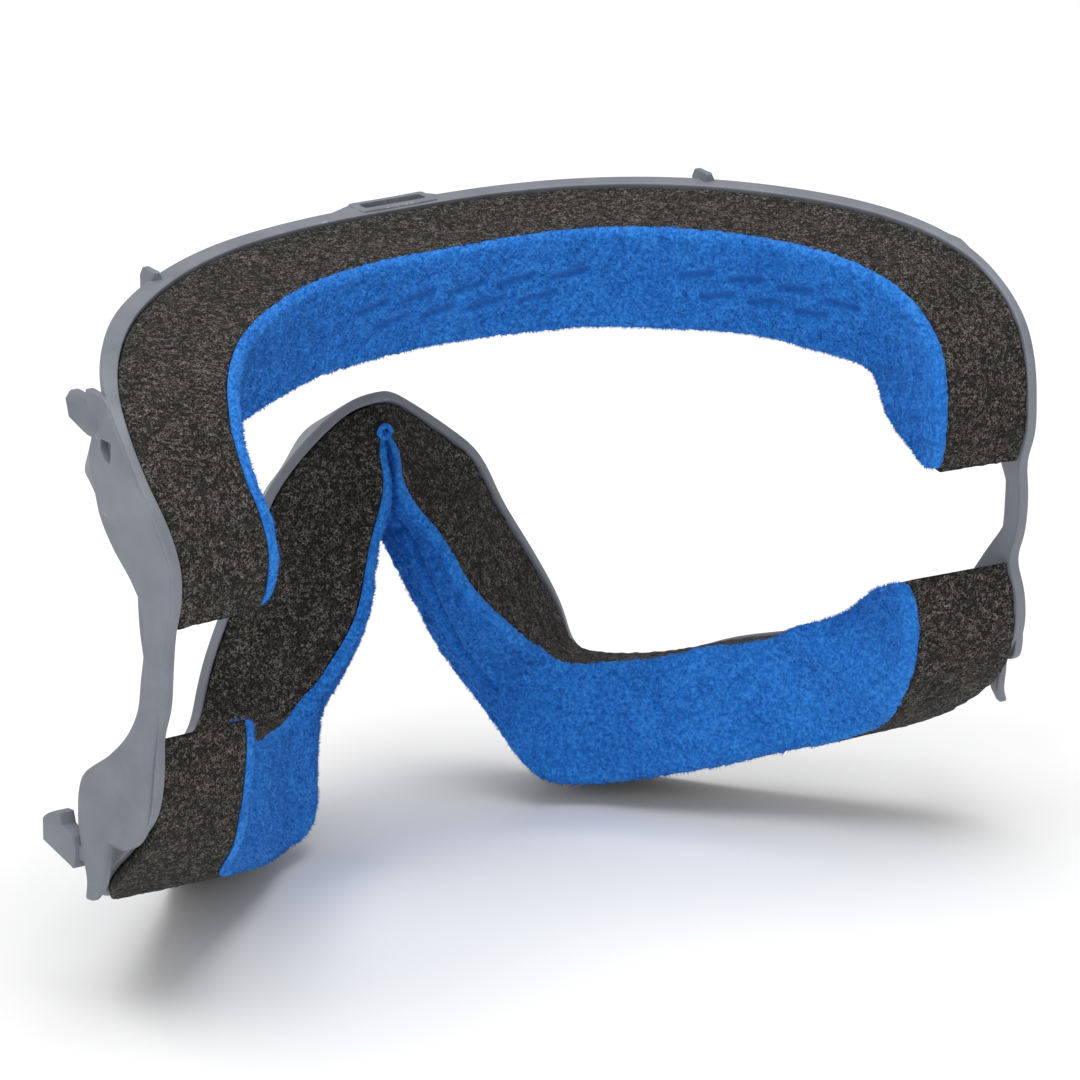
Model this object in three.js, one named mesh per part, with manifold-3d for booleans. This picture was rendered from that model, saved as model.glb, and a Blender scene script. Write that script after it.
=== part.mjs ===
// Foam-lined face frame of a pair of sports goggles: one moulded carrier that goes
// round both eyes, a brow pad and a cheek-and-nose pad, each with its fleece lining and
// its adhesive strip, and a snap latch at each lower corner.
// Millimetres, +Z up, +X to the wearer's left, -Y towards the lens side.
// The origin is under the middle of the frame, at the height of its lowest point.
import * as THREE from 'three';
import Module from 'manifold-3d';
import { mergeVertices } from 'three/addons/utils/BufferGeometryUtils.js';

const wasm = await Module();
wasm.setup();

// ---- driving sizes -------------------------------------------------------------
const HALF_WIDTH = 86.6;        // middle of the face to the widest inside face of the carrier
const DEPTH = 94.9;             // front of the cheek wall to the back edge of the temple
const HEIGHT = 111.8;           // lowest point of the cheek wall to the top of the brow
const WALL = 1.8;               // carrier wall
const LIP_RISE = 0.7;           // brow lip above the pad
const LIP_THICKNESS = 3.6;      // brow lip, front to back
const RIM_RISE = 0.6;           // nose and cheek rim beyond the pad
const BROW_SKIRT = 2.6;         // brow wall below the pad, where the lens seats
const FOAM = 17.4;              // open-cell foam, face to back
const FLEECE = 1.8;             // lining on the face side
const TAPE = 0.4;               // adhesive strip behind the foam
const GAP = 0.3;                // clearance between two faces that touch
const NAP_GAP = 0.5;            // the same under the lining, which bends more sharply
const LATCH_LENGTH = 8.4;       // latch arm, root to hook tip
const LATCH_HEIGHT = 5.8;       // latch arm at its root
const LATCH_THICKNESS = 3.0;    // latch arm, inside to outside
const LATCH_HOOK = 2.1;         // hook above the arm
const LATCH_GAP = 0.45;         // clearance between the latch root and its column
const SLOT_WIDTH = 12.4;        // vent slot in the top housing
const SLOT_DEPTH = 2.6;         // vent slot, front to back
const HOUSING_WIDTH = 15.2;     // top housing around the slot, along its upper face
const HOUSING_SLOPE = 4.6;      // run of each sloping flank of the top housing
const HOUSING_DEPTH = 5.4;      // top housing, front to back
const HOUSING_RISE = 0.4;       // top housing above the brow lip
const TAB_LENGTH = 4.2;         // locating tab on the brow lip, front to back
const TAB_WIDTH = 2.2;          // locating tab, side to side
const TAB_RISE = 1.6;           // locating tab above the brow lip
const TAB_OFFSET = 55.9;        // middle of the face to a locating tab
const SEGMENTS = 2;             // faces along each pad between two stations

// ---- reference sizes that the stations below are drawn at ------------------------
const DRAWN = {
  halfWidth: 86.6,
  depth: 94.9,
  height: 111.8,
  foam: 17.4,
  foamBase: 1.0,
  fleece: 1.8,
  napGap: 0.5,
};
const FOAM_BASE = 2 * GAP + TAPE;
const scaleX = HALF_WIDTH / DRAWN.halfWidth;
const scaleY = DEPTH / DRAWN.depth;
const scaleZ = HEIGHT / DRAWN.height;
const v = (x, y, z) => new THREE.Vector3(x, y, z);
const placed = (x, y, z) => v(x * scaleX, y * scaleY, z * scaleZ);

// A station is one cross-section of the frame. `at` is the corner where the pad's outer
// cut edge meets the carrier, `face` points from the carrier to the skin, `across`
// points from the outer edge to the eye side, and `width` is the pad's width there.
// `deep` scales the foam; `crease` and `edge` place the bend in the lining and its
// outer corner as shares of the width and of the depth; `toward` turns the lining of the
// outer corner, and `nap` scales its thickness. The carrier stands `lip` beyond the
// outer edge, `skirt` beyond the eye side, and is `ledge` thick at its outer edge.
function station(at, face, across, width, more = {}) {
  const plain = { deep: 1, crease: [0.5, 1], edge: [0, 1], nap: 1 };
  const wall = { lip: RIM_RISE, skirt: RIM_RISE, ledge: WALL };
  return {
    at: placed(...at),
    face: v(...face).normalize(),
    across: v(...across).normalize(),
    turned: v(...(more.toward ?? face)).normalize(),
    width,
    ...plain,
    ...wall,
    ...more,
  };
}

// A station beside the nose keeps the skin side of its lining where it is drawn, so that
// the two legs never meet: the carrier stands back by the depth of the foam and lining.
function noseStation(at, face, across, width, more = {}) {
  const s = station([0, 0, 0], face, across, width, more);
  const skin = v(...at)
    .addScaledVector(s.face, DRAWN.foamBase + DRAWN.foam * s.deep)
    .addScaledVector(s.turned, DRAWN.napGap + DRAWN.fleece * s.nap);
  s.at = placed(skin.x, skin.y, skin.z)
    .addScaledVector(s.face, -FOAM_BASE - FOAM * s.deep)
    .addScaledVector(s.turned, -NAP_GAP - FLEECE * s.nap);
  return s;
}
const browLip = { lip: LIP_RISE, skirt: BROW_SKIRT, ledge: LIP_THICKNESS };

// Brow pad, from the middle of the forehead to its end on the left temple.
const BROW = [
  station([0, -45.5, 47.3], [0, 0.995, -0.09], [0, -0.42, -0.91], 22, browLip),
  station([18, -44.6, 47.4], [-0.12, 0.985, -0.09], [-0.02, -0.37, -0.93], 21.6, browLip),
  station([36, -41.2, 47], [-0.36, 0.93, -0.09], [-0.05, -0.3, -0.95], 20.3, browLip),
  station([52, -33.2, 46.4], [-0.57, 0.815, -0.1], [0, -0.28, -0.96], 20.2, browLip),
  station([65.5, -23, 45.1], [-0.74, 0.665, -0.1], [0, -0.37, -0.93], 20.5, browLip),
  station([75.5, -11.2, 43.5], [-0.86, 0.5, -0.1], [-0.03, -0.465, -0.885], 20.4,
    { ...browLip, ledge: 3.2 }),
  station([82.3, 0, 40.6], [-0.94, 0.33, -0.08], [-0.08, -0.52, -0.85], 20.6,
    { ...browLip, skirt: 0.4, ledge: 2.6 }),
  station([85.7, 9.5, 36.5], [-0.98, 0.18, -0.06], [0, -0.7, -0.68], 20,
    { deep: 0.97, lip: 0.5, skirt: -4 }),
  station([86.6, 17.5, 30], [-0.995, 0.08, -0.02], [0, -0.84, -0.53], 20,
    { deep: 0.94, lip: 0.5, skirt: -5 }),
  station([85.5, 22.4, 23.4], [-1, 0.03, 0], [0, -0.955, -0.295], 19.4,
    { deep: 0.92, lip: 0.5, skirt: -4.5 }),
  station([84.6, 24.3, 17], [-1, 0, 0], [0, -1, -0.05], 18.4,
    { deep: 0.91, lip: 0.5, skirt: -3.5 }),
  station([84.5, 24, 11], [-1, -0.02, 0], [0, -0.98, 0.2], 16.4, { deep: 0.9, skirt: -2.6 }),
  station([84.4, 22, 5.8], [-1, -0.03, 0.02], [0, -0.88, 0.47], 14.6, { deep: 0.88, skirt: -3.6 }),
];

// The bare strut between the two pads at the left temple.
const STRUT = [
  station([84.9, 21.6, -1], [-0.98, -0.21, 0], [0.21, -0.98, 0], 4.2),
  station([84.9, 20.8, -8], [-0.98, -0.21, 0], [0.21, -0.98, 0], 4.2),
];

// Cheek-and-nose pad, from its end on the left temple to the top of the nose.
const CHEEK = [
  station([84.9, 18.6, -14], [-0.97, -0.21, -0.07], [-0.05, -0.9, -0.43], 11),
  station([85.7, 19.8, -19.5], [-0.976, -0.2, 0], [-0.04, -0.95, -0.3], 18),
  station([86.4, 19.3, -27], [-0.98, -0.18, 0.02], [-0.12, -0.98, -0.02], 20.7, { lip: 0.3 }),
  station([87.5, 15.2, -35.2], [-0.99, -0.08, 0.03], [-0.24, -0.93, 0.25], 22.8,
    { deep: 1.05, lip: -2.6 }),
  station([87.7, 6.4, -43.2], [-0.98, 0.14, 0.06], [-0.4, -0.75, 0.52], 24,
    { deep: 1.08, lip: -2.8 }),
  station([84.6, -1.8, -49.2], [-0.94, 0.3, 0.14], [-0.4, -0.69, 0.6], 24,
    { deep: 1.04, lip: -1.6 }),
  station([78, -9.6, -53], [-0.9, 0.4, 0.17], [-0.38, -0.64, 0.66], 23.8, { lip: -0.8 }),
  station([70, -18, -56.2], [-0.79, 0.57, 0.24], [-0.36, -0.56, 0.74], 23.4,
    { deep: 0.92, lip: -0.6 }),
  station([60, -28, -59.9], [-0.68, 0.7, 0.24], [-0.33, -0.4, 0.86], 22.2,
    { deep: 0.88, lip: -0.4, skirt: -0.4 }),
  station([50.5, -39, -63.8], [-0.62, 0.75, 0.25], [-0.24, -0.27, 0.93], 22,
    { deep: 0.91, lip: 0, skirt: -0.8 }),
  station([43, -48.2, -65.6], [-0.62, 0.75, 0.2], [-0.05, -0.12, 0.98], 22.4,
    { deep: 0.92, lip: 0, skirt: -0.8 }),
];
const INWARD = [-1, 0.08, 0];
const NOSE = [
  noseStation([36, -51.4, -63], [-0.66, 0.73, 0.13], [0.08, 0.03, 0.99], 21.2,
    { deep: 0.9, skirt: -0.4, crease: [0.45, 1], edge: [0, 0.99], toward: [-0.7, 0.7, 0] }),
  noseStation([33.1, -56.9, -55.4], [-0.7, 0.71, 0.06], [0.22, 0.27, 0.94], 19.4,
    { deep: 0.95, crease: [0.4, 1], edge: [0.02, 0.96], toward: [-0.8, 0.6, 0] }),
  noseStation([29.4, -64.3, -44.6], [-0.68, 0.72, -0.15], [0.33, 0.66, 0.67], 18.1,
    { deep: 0.99, crease: [0.36, 1], edge: [0.04, 0.88], toward: [-0.9, 0.4, 0] }),
  noseStation([23.1, -65.6, -33.2], [-0.63, 0.7, -0.32], [0.56, 0.74, 0.38], 17,
    { deep: 1.06, crease: [0.38, 0.99], edge: [0.06, 0.82], toward: INWARD }),
  noseStation([18, -66.7, -22.1], [-0.67, 0.64, -0.38], [0.493, 0.765, 0.419], 16,
    { deep: 1.13, crease: [0.56, 0.96], edge: [0.19, 0.84], toward: INWARD }),
  noseStation([13.9, -68.1, -9.7], [-0.685, 0.55, -0.475], [0.407, 0.828, 0.373], 15.5,
    { deep: 1.02, crease: [0.645, 0.99], edge: [0.12, 0.85], toward: INWARD, nap: 0.7 }),
  noseStation([9.6, -68.6, -5.7], [-0.578, 0.558, -0.592], [0.304, 0.826, 0.482], 15,
    { deep: 0.88, crease: [0.67, 0.97], edge: [0.12, 0.88], toward: INWARD, nap: 0.55 }),
  noseStation([5.9, -68.6, -0.4], [-0.39, 0.59, -0.7], [0.12, 0.86, 0.48], 14.4,
    { deep: 0.65, crease: [0.66, 0.97], edge: [0.14, 0.88], toward: INWARD, nap: 0.55 }),
  noseStation([3.3, -67, 2.2], [-0.12, 0.6, -0.79], [0.03, 0.86, 0.5], 14,
    { deep: 0.38, crease: [0.66, 1], edge: [0.14, 1], toward: [-0.55, 0.1, -0.83], nap: 0.55 }),
  noseStation([0, -65.4, 3.4], [0, 0.3, -0.95], [0, 0.87, 0.5], 13.6,
    { deep: 0.16, nap: 0.55 }),
];

const flip = (p) => v(-p.x, p.y, p.z);
const opposite = (s) => ({
  ...s,
  at: flip(s.at),
  face: flip(s.face),
  across: flip(s.across),
  turned: flip(s.turned),
});
const half = [...BROW, ...STRUT, ...CHEEK, ...NOSE];
const ring = [...half, ...half.slice(1, -1).reverse().map(opposite)];

// Smooth curve through one vector or three numbers of every station of the ring.
const curveOf = (read) => new THREE.CatmullRomCurve3(ring.map(read), true, 'centripetal');

// The ring again, with SEGMENTS cross-sections to each station.
function refined() {
  const at = curveOf((s) => s.at);
  const face = curveOf((s) => s.face);
  const across = curveOf((s) => s.across);
  const turned = curveOf((s) => s.turned);
  const size = curveOf((s) => v(s.width, s.deep, s.nap));
  const bend = curveOf((s) => v(s.crease[0], s.crease[1], s.lip));
  const corner = curveOf((s) => v(s.edge[0], s.edge[1], s.skirt));
  const ledge = curveOf((s) => v(s.ledge, s.width, 0));
  const count = ring.length * SEGMENTS;
  return Array.from({ length: count }, (_, i) => {
    const t = i / count;
    const [sizes, bends, corners] = [size.getPoint(t), bend.getPoint(t), corner.getPoint(t)];
    return {
      at: at.getPoint(t),
      face: face.getPoint(t).normalize(),
      across: across.getPoint(t).normalize(),
      turned: turned.getPoint(t).normalize(),
      width: sizes.x,
      deep: sizes.y,
      nap: sizes.z,
      crease: [bends.x, bends.y],
      lip: bends.z,
      edge: [corners.x, corners.y],
      skirt: corners.z,
      ledge: ledge.getPoint(t).x,
    };
  });
}
const carrierPath = refined();
const browEnd = (BROW.length - 1) * SEGMENTS;
const cheekStart = (BROW.length + STRUT.length) * SEGMENTS;
const browPath = [...carrierPath.slice(-browEnd), ...carrierPath.slice(0, browEnd + 1)];
const cheekPath = carrierPath.slice(cheekStart, carrierPath.length - cheekStart + 1);

// ---- surfaces ------------------------------------------------------------------
// A point of a station, `along` mm across the pad and `out` mm from the carrier.
const point = (s, along, out) => s.at.clone()
  .addScaledVector(s.across, along)
  .addScaledVector(s.face, out);

// Closed skin through a row of equal rings of points, capped or joined end to end.
function loft(rings, closed) {
  const count = rings[0].length;
  const position = rings.flat().flatMap((p) => [p.x, p.y, p.z]);
  const index = [];
  const spans = closed ? rings.length : rings.length - 1;
  for (let i = 0; i < spans; i += 1) {
    const a = i * count;
    const b = ((i + 1) % rings.length) * count;
    for (let k = 0; k < count; k += 1) {
      const next = (k + 1) % count;
      index.push(a + k, a + next, b + k, a + next, b + next, b + k);
    }
  }
  if (!closed) {
    const last = (rings.length - 1) * count;
    for (const [i, j, k] of capFaces(rings[0])) {
      index.push(i, k, j);
    }
    for (const [i, j, k] of capFaces(rings[rings.length - 1])) {
      index.push(last + i, last + j, last + k);
    }
  }
  if (signedVolume(position, index) < 0) {
    index.reverse();
  }
  const geometry = new THREE.BufferGeometry();
  geometry.setAttribute('position', new THREE.Float32BufferAttribute(position, 3));
  geometry.setIndex(index);
  return geometry;
}

// Six times the enclosed volume, negative when the faces point inwards.
function signedVolume(position, index) {
  const corner = (i) => new THREE.Vector3().fromArray(position, 3 * i);
  let total = 0;
  for (let i = 0; i < index.length; i += 3) {
    total += corner(index[i]).dot(corner(index[i + 1]).cross(corner(index[i + 2])));
  }
  return total;
}

// Triangles of one end ring, worked out on the ring's own plane.
function capFaces(ring) {
  const side = ring[1].clone().sub(ring[0]).normalize();
  const normal = side.clone().cross(ring[ring.length - 1].clone().sub(ring[0])).normalize();
  const up = normal.clone().cross(side);
  const flat = ring.map((p) => {
    const arm = p.clone().sub(ring[0]);
    return new THREE.Vector2(arm.dot(side), arm.dot(up));
  });
  return THREE.ShapeUtils.triangulateShape(flat, []);
}

// Skin through `section(station)` along a path of cross-sections.
const sweep = (path, section, closed = false) => loft(path.map(section), closed);

// ---- pads, linings and adhesive strips --------------------------------------------
const foamTop = (s) => FOAM_BASE + FOAM * s.deep;

// Places across a pad's back, as shares of its width, that the carrier, the adhesive and
// the foam have in common, so that their surfaces run side by side where the pad twists.
const BACK_SHARES = [0.15, 0.42, 0.7];
const backShares = (s, out) => BACK_SHARES.map((share) => point(s, s.width * share, out));
const backLine = (s, from, to, out) => [point(s, from, out), ...backShares(s, out), point(s, to, out)];

// Skin side of the foam as a bent line from the eye side to the outer edge, each point
// with the direction that the lining grows in.
function faceLine(s) {
  const top = foamTop(s);
  const middle = s.face.clone().add(s.turned).normalize();
  const spots = [
    [s.width, top, s.face],
    [s.width * s.crease[0], top * s.crease[1], middle],
    [s.width * s.edge[0], top * s.edge[1], s.turned],
  ];
  return spots.map(([along, out, grow]) => ({ spot: point(s, along, out), grow }));
}

const foamSection = (s) => [
  ...faceLine(s).reverse().map(({ spot }) => spot),
  ...backLine(s, 0, s.width, FOAM_BASE).reverse(),
];

function fleeceSection(s) {
  const line = faceLine(s).reverse();
  const lift = (amount) => line.map(({ spot, grow }) => spot.clone().addScaledVector(grow, amount));
  return [...lift(NAP_GAP), ...lift(NAP_GAP + FLEECE * s.nap).reverse()];
}

const tapeSection = (s) => [...backShares(s, GAP), ...backShares(s, GAP + TAPE).reverse()];

// ---- carrier -----------------------------------------------------------------------
function wallSection(s) {
  const step = Math.max(0, -s.lip) + 0.8 + 0.45 * (s.ledge - WALL);
  return [
    ...backLine(s, -s.lip, s.width + s.skirt, 0),
    point(s, s.width + s.skirt, -WALL),
    point(s, step + 0.8, -WALL),
    point(s, step, -s.ledge),
    point(s, -s.lip, -s.ledge),
  ];
}

// The room that a pad needs in front of the wall, kept free of the side plates.
const ROOM_MARGIN = 3;
const padRoom = (s) => [
  ...backLine(s, -ROOM_MARGIN, s.width + ROOM_MARGIN, 0.05),
  point(s, s.width + ROOM_MARGIN, FOAM / 2),
  point(s, -ROOM_MARGIN, FOAM / 2),
];

function solid(geometry) {
  const bare = geometry.clone();
  bare.deleteAttribute('normal');
  bare.deleteAttribute('uv');
  const welded = mergeVertices(bare, 1e-4);
  return new wasm.Manifold(new wasm.Mesh({
    numProp: 3,
    vertProperties: new Float32Array(welded.attributes.position.array),
    triVerts: new Uint32Array(welded.index.array),
  }));
}

function geometryOf(body) {
  const mesh = body.getMesh();
  const geometry = new THREE.BufferGeometry();
  geometry.setAttribute('position', new THREE.BufferAttribute(mesh.vertProperties, 3));
  geometry.setIndex(new THREE.BufferAttribute(mesh.triVerts, 1));
  return geometry;
}

// Side plate of the left temple, as rows of [z, front y, back y, flare]: the flare is
// how far the plate swings outwards for each millimetre that it runs forwards of the
// line y = HINGE.
const HINGE = 20.0;
const PLATE = [
  [40.6, -4.8, 1.6, 0], [37.5, -2.6, 8, 0], [34, 1.4, 13.2, 0], [30.5, 2.2, 17, 0],
  [26, 2.6, 20.2, 0], [21, 4.4, 22.6, 0.04], [16.5, 7.8, 24.2, 0.08], [12, 12.2, 24, 0.12],
  [7.5, 15.4, 22.9, 0.16], [2, 16.2, 21.9, 0.2], [-4, 15.6, 21, 0.21], [-10, 14.6, 19.9, 0.21],
  [-15, 12, 19.1, 0.21], [-19, 8.6, 19.2, 0.21], [-24, 2.6, 19.2, 0.21], [-27.3, 1.7, 18.9, 0.21],
  [-31, 2.1, 17.6, 0.21], [-33, 2.5, 16.2, 0.21], [-34.3, 3, 14.2, 0.21],
];
// The column below the plate that carries the latch.
const COLUMN = [
  [-31, 2.1, 12, 0.21], [-34.5, 3, 10.3, 0.21], [-38, 4, 9.6, 0.21],
  [-42, 5, 8.7, 0.21], [-44.8, 6, 7.8, 0.21],
];
// The stop at the top of the plate's front edge.
const STOP = [
  [38.9, -10.4, -2.2, 0], [37.6, -10.2, -1.4, 0], [35.4, -7.2, 1, 0], [34, -0.6, 2.5, 0],
];
const HOLE = [[34.6, 3.8, 7.2, 0], [33, 4.3, 7.9, 0], [31.4, 6.2, 8, 0]];

// Where the inside face of the left temple stands at a height.
function templeAt(z) {
  const line = [...BROW.slice(6), ...STRUT, ...CHEEK.slice(0, 5)].map((s) => s.at);
  const low = line.findIndex((p) => p.z <= z);
  if (low === 0) {
    return line[0].x + 1.8;
  }
  if (low < 0) {
    return line[line.length - 1].x + 1;
  }
  const share = (z - line[low].z) / (line[low - 1].z - line[low].z);
  return line[low].x + share * (line[low - 1].x - line[low].x);
}

// Plate that follows the temple, `from` to `to` mm outside its face, cut to the rows.
function templePlate(rows, from, to, smooth = true) {
  const sections = rows.map(([z, front, back, flare]) => {
    const [high, near, far] = [z * scaleZ, front * scaleY, back * scaleY];
    const inside = templeAt(high);
    const swing = inside + flare * Math.max(0, HINGE * scaleY - near);
    const hold = inside + flare * Math.max(0, HINGE * scaleY - far);
    return [
      v(hold + from, far, high), v(hold + to, far, high),
      v(swing + to, near, high), v(swing + from, near, high),
    ];
  });
  if (!smooth) {
    return solid(loft(sections, false));
  }
  const rails = sections[0].map((_, k) => new THREE.CatmullRomCurve3(
    sections.map((section) => section[k]), false, 'centripetal'));
  const steps = SEGMENTS * (rows.length - 1);
  const rings = Array.from({ length: steps + 1 }, (_, i) => rails.map((r) => r.getPoint(i / steps)));
  return solid(loft(rings, false));
}

function box(sizeX, sizeY, sizeZ, x, y, z) {
  const geometry = new THREE.BoxGeometry(sizeX, sizeY, sizeZ);
  geometry.translate(x, y, z);
  return solid(geometry);
}

const mirrorBody = (body) => body.mirror([1, 0, 0]);

// Carrier wall all the way round both eyes, with its side plates, stops, top housing,
// vent slot and locating tabs.
function carrierGeometry() {
  let body = solid(sweep(carrierPath, wallSection, true));
  const outside = WALL + 0.1;
  const plate = templePlate(PLATE, 0.25, outside)
    .subtract(templePlate(HOLE, -1, WALL + 2, false))
    .add(templePlate(COLUMN, 0.25, outside))
    .add(templePlate(STOP, 0.4, outside, false));
  body = body.add(plate).add(mirrorBody(plate));
  body = body.subtract(solid(sweep(browPath, padRoom))).subtract(solid(sweep(cheekPath, padRoom)));

  const top = BROW[0].at;
  const housingTop = top.z + LIP_RISE + HOUSING_RISE;
  const front = top.y - 0.2 - HOUSING_DEPTH;
  const level = (halfWidth, z) => [
    v(-halfWidth, front, z), v(halfWidth, front, z),
    v(halfWidth, front + HOUSING_DEPTH, z), v(-halfWidth, front + HOUSING_DEPTH, z),
  ];
  const housing = solid(loft([
    level(HOUSING_WIDTH / 2 + HOUSING_SLOPE, housingTop - 3.4),
    level(HOUSING_WIDTH / 2 + HOUSING_SLOPE, housingTop - 1.4),
    level(HOUSING_WIDTH / 2, housingTop),
  ], false));
  body = body.add(housing);
  const slotMiddle = front + HOUSING_DEPTH / 2 - 0.1;
  body = body.subtract(box(SLOT_WIDTH, SLOT_DEPTH, 30, 0, slotMiddle, housingTop));

  const tabHigh = TAB_RISE + 3.4;
  const tabTop = 46.2 * scaleZ + LIP_RISE + TAB_RISE;
  const tab = box(TAB_WIDTH, TAB_LENGTH, tabHigh, TAB_OFFSET * scaleX,
    -35.2 * scaleY, tabTop - tabHigh / 2);
  return geometryOf(body.add(tab).add(mirrorBody(tab)));
}

// ---- latches -----------------------------------------------------------------------
const COLUMN_FRONT = COLUMN[2][1] * scaleY;
const LATCH_ROOT = COLUMN_FRONT - LATCH_GAP;
const LATCH_MIDDLE = -37.6 * scaleZ;
const LATCH_FLARE = COLUMN[2][3];

// Side view of the latch arm: rounded root, slim arm and a hook that turns up.
function latchShape() {
  const tip = LATCH_ROOT - LATCH_LENGTH;
  const top = LATCH_MIDDLE + LATCH_HEIGHT / 2;
  const low = LATCH_MIDDLE - LATCH_HEIGHT / 2;
  const shape = new THREE.Shape();
  shape.moveTo(LATCH_ROOT - 0.9, top);
  shape.lineTo(tip + LATCH_LENGTH * 0.56, top + 1.2);
  shape.lineTo(tip + LATCH_LENGTH * 0.5, top + 1.2 + LATCH_HOOK);
  shape.lineTo(tip + LATCH_LENGTH * 0.34, top + 1.2 + LATCH_HOOK);
  shape.quadraticCurveTo(tip + 0.6, top + 1 + LATCH_HOOK * 0.6, tip, top + 1.3);
  shape.lineTo(tip, low + 3.2);
  shape.lineTo(LATCH_ROOT - 1.4, low + 0.3);
  shape.lineTo(LATCH_ROOT - 0.9, low);
  shape.quadraticCurveTo(LATCH_ROOT + 0.3, LATCH_MIDDLE, LATCH_ROOT - 0.9, top);
  return shape;
}

function latchGeometry() {
  const options = { depth: LATCH_THICKNESS, bevelEnabled: false, curveSegments: 6 };
  const geometry = new THREE.ExtrudeGeometry(latchShape(), options);
  const spots = geometry.attributes.position;
  const back = HINGE * scaleY;
  const inside = templeAt(LATCH_MIDDLE) + 0.25 - (LATCH_THICKNESS - WALL) / 2;
  for (let i = 0; i < spots.count; i += 1) {
    const y = spots.getX(i);
    spots.setXYZ(i, inside + LATCH_FLARE * (back - y) + spots.getZ(i), y, spots.getY(i));
  }
  return geometryOf(solid(geometry));
}

const leftLatch = latchGeometry();
const rightLatch = geometryOf(mirrorBody(solid(leftLatch)));

// ---- assembly ----------------------------------------------------------------------
const finish = (color, roughness) => new THREE.MeshStandardMaterial({ color, roughness, metalness: 0 });
const plastic = finish(0x70747c, 0.55);
const foam = finish(0x3b3836, 0.95);
const fleece = finish(0x1f66c2, 0.95);
const adhesive = finish(0xd8d3c4, 0.6);

const pieces = [
  ['carrier_frame', carrierGeometry(), plastic],
  ['upper_foam_pad', sweep(browPath, foamSection), foam],
  ['lower_foam_pad', sweep(cheekPath, foamSection), foam],
  ['upper_fleece_lining', sweep(browPath, fleeceSection), fleece],
  ['lower_fleece_lining', sweep(cheekPath, fleeceSection), fleece],
  ['upper_adhesive_tape', sweep(browPath, tapeSection), adhesive],
  ['lower_adhesive_tape', sweep(cheekPath, tapeSection), adhesive],
  ['left_latch_arm', leftLatch, plastic],
  ['right_latch_arm', rightLatch, plastic],
];

const faceFrame = new THREE.Group();
for (const [name, geometry, material] of pieces) {
  const mesh = new THREE.Mesh(geometry, material.clone());
  mesh.name = name;
  faceFrame.add(mesh);
}
const bounds = new THREE.Box3().setFromObject(faceFrame);
const centre = bounds.getCenter(new THREE.Vector3());
faceFrame.position.set(-centre.x, -centre.y, -bounds.min.z);
faceFrame.updateMatrixWorld(true);

export default faceFrame;
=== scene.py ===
"""Looks of a foam-lined goggle face frame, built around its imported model.

Every length in the tables is in millimetres in the frame's own drawing position, and
`Millimetres.place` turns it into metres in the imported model's frame.
"""
import logging
import math
from dataclasses import dataclass, field
from enum import Enum
from typing import Any, Optional, Sequence

import bpy
import numpy as np
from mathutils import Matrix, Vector


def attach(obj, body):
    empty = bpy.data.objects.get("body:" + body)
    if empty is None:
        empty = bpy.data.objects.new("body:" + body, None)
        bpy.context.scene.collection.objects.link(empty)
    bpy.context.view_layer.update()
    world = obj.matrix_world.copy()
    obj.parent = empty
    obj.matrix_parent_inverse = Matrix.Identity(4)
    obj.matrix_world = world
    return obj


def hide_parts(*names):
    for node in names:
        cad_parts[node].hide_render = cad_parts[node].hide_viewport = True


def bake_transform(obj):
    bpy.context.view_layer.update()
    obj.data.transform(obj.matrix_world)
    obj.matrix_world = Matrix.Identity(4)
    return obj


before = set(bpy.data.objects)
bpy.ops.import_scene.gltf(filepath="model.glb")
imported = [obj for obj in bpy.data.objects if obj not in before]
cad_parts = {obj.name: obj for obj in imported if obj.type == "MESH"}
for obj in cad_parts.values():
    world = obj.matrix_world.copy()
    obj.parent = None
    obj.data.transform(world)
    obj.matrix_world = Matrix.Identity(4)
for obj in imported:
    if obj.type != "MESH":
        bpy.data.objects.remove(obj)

log = logging.getLogger("face_frame")
Array = np.ndarray
Triple = tuple[float, float, float]

ORIGIN = np.array([0.0, 22.68085, 65.96238])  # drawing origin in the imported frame
MM = 0.001
WELD = 2e-7            # points closer than this, in metres, are one point

# Sizes that the pieces share
WALL = 1.8
FOAM = 17.4
FOAM_BASE = 1.0        # carrier to the foam's back, over the adhesive strip
FOAM_SEAT = 0.12       # carrier to the foam's back beside the strip
NAP_GAP = 0.5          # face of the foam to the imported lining
NAP_SEAT = 0.06        # face of the foam to the lining's back
FLEECE = 1.8
HINGE = 20.0           # line that the side plates swing outwards from
FINE = 50              # places between two stations in the softened loop
SOFTEN = 0.24          # softening along the loop, in stations
EYE_SOFTEN = 0.85      # the same for the eye side where it turns sharply


class Side(Enum):
    """Side of the face, as the sign of X."""

    LEFT = 1
    RIGHT = -1


class Joining(Enum):
    """How one solid meets another."""

    ADD = "UNION"
    CUT = "DIFFERENCE"


# ---- shape helpers ----------------------------------------------------------------
class Millimetres:
    """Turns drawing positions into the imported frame's metres."""

    @staticmethod
    def place(points: Array) -> Array:
        """Drawing millimetres to packed metres: add the origin, divide by a thousand."""
        return (np.asarray(points, float) + ORIGIN) * MM


def unit(vectors: Array) -> Array:
    """Vectors scaled to length one."""
    return vectors / np.maximum(np.linalg.norm(vectors, axis=-1, keepdims=True), 1e-12)


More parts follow.
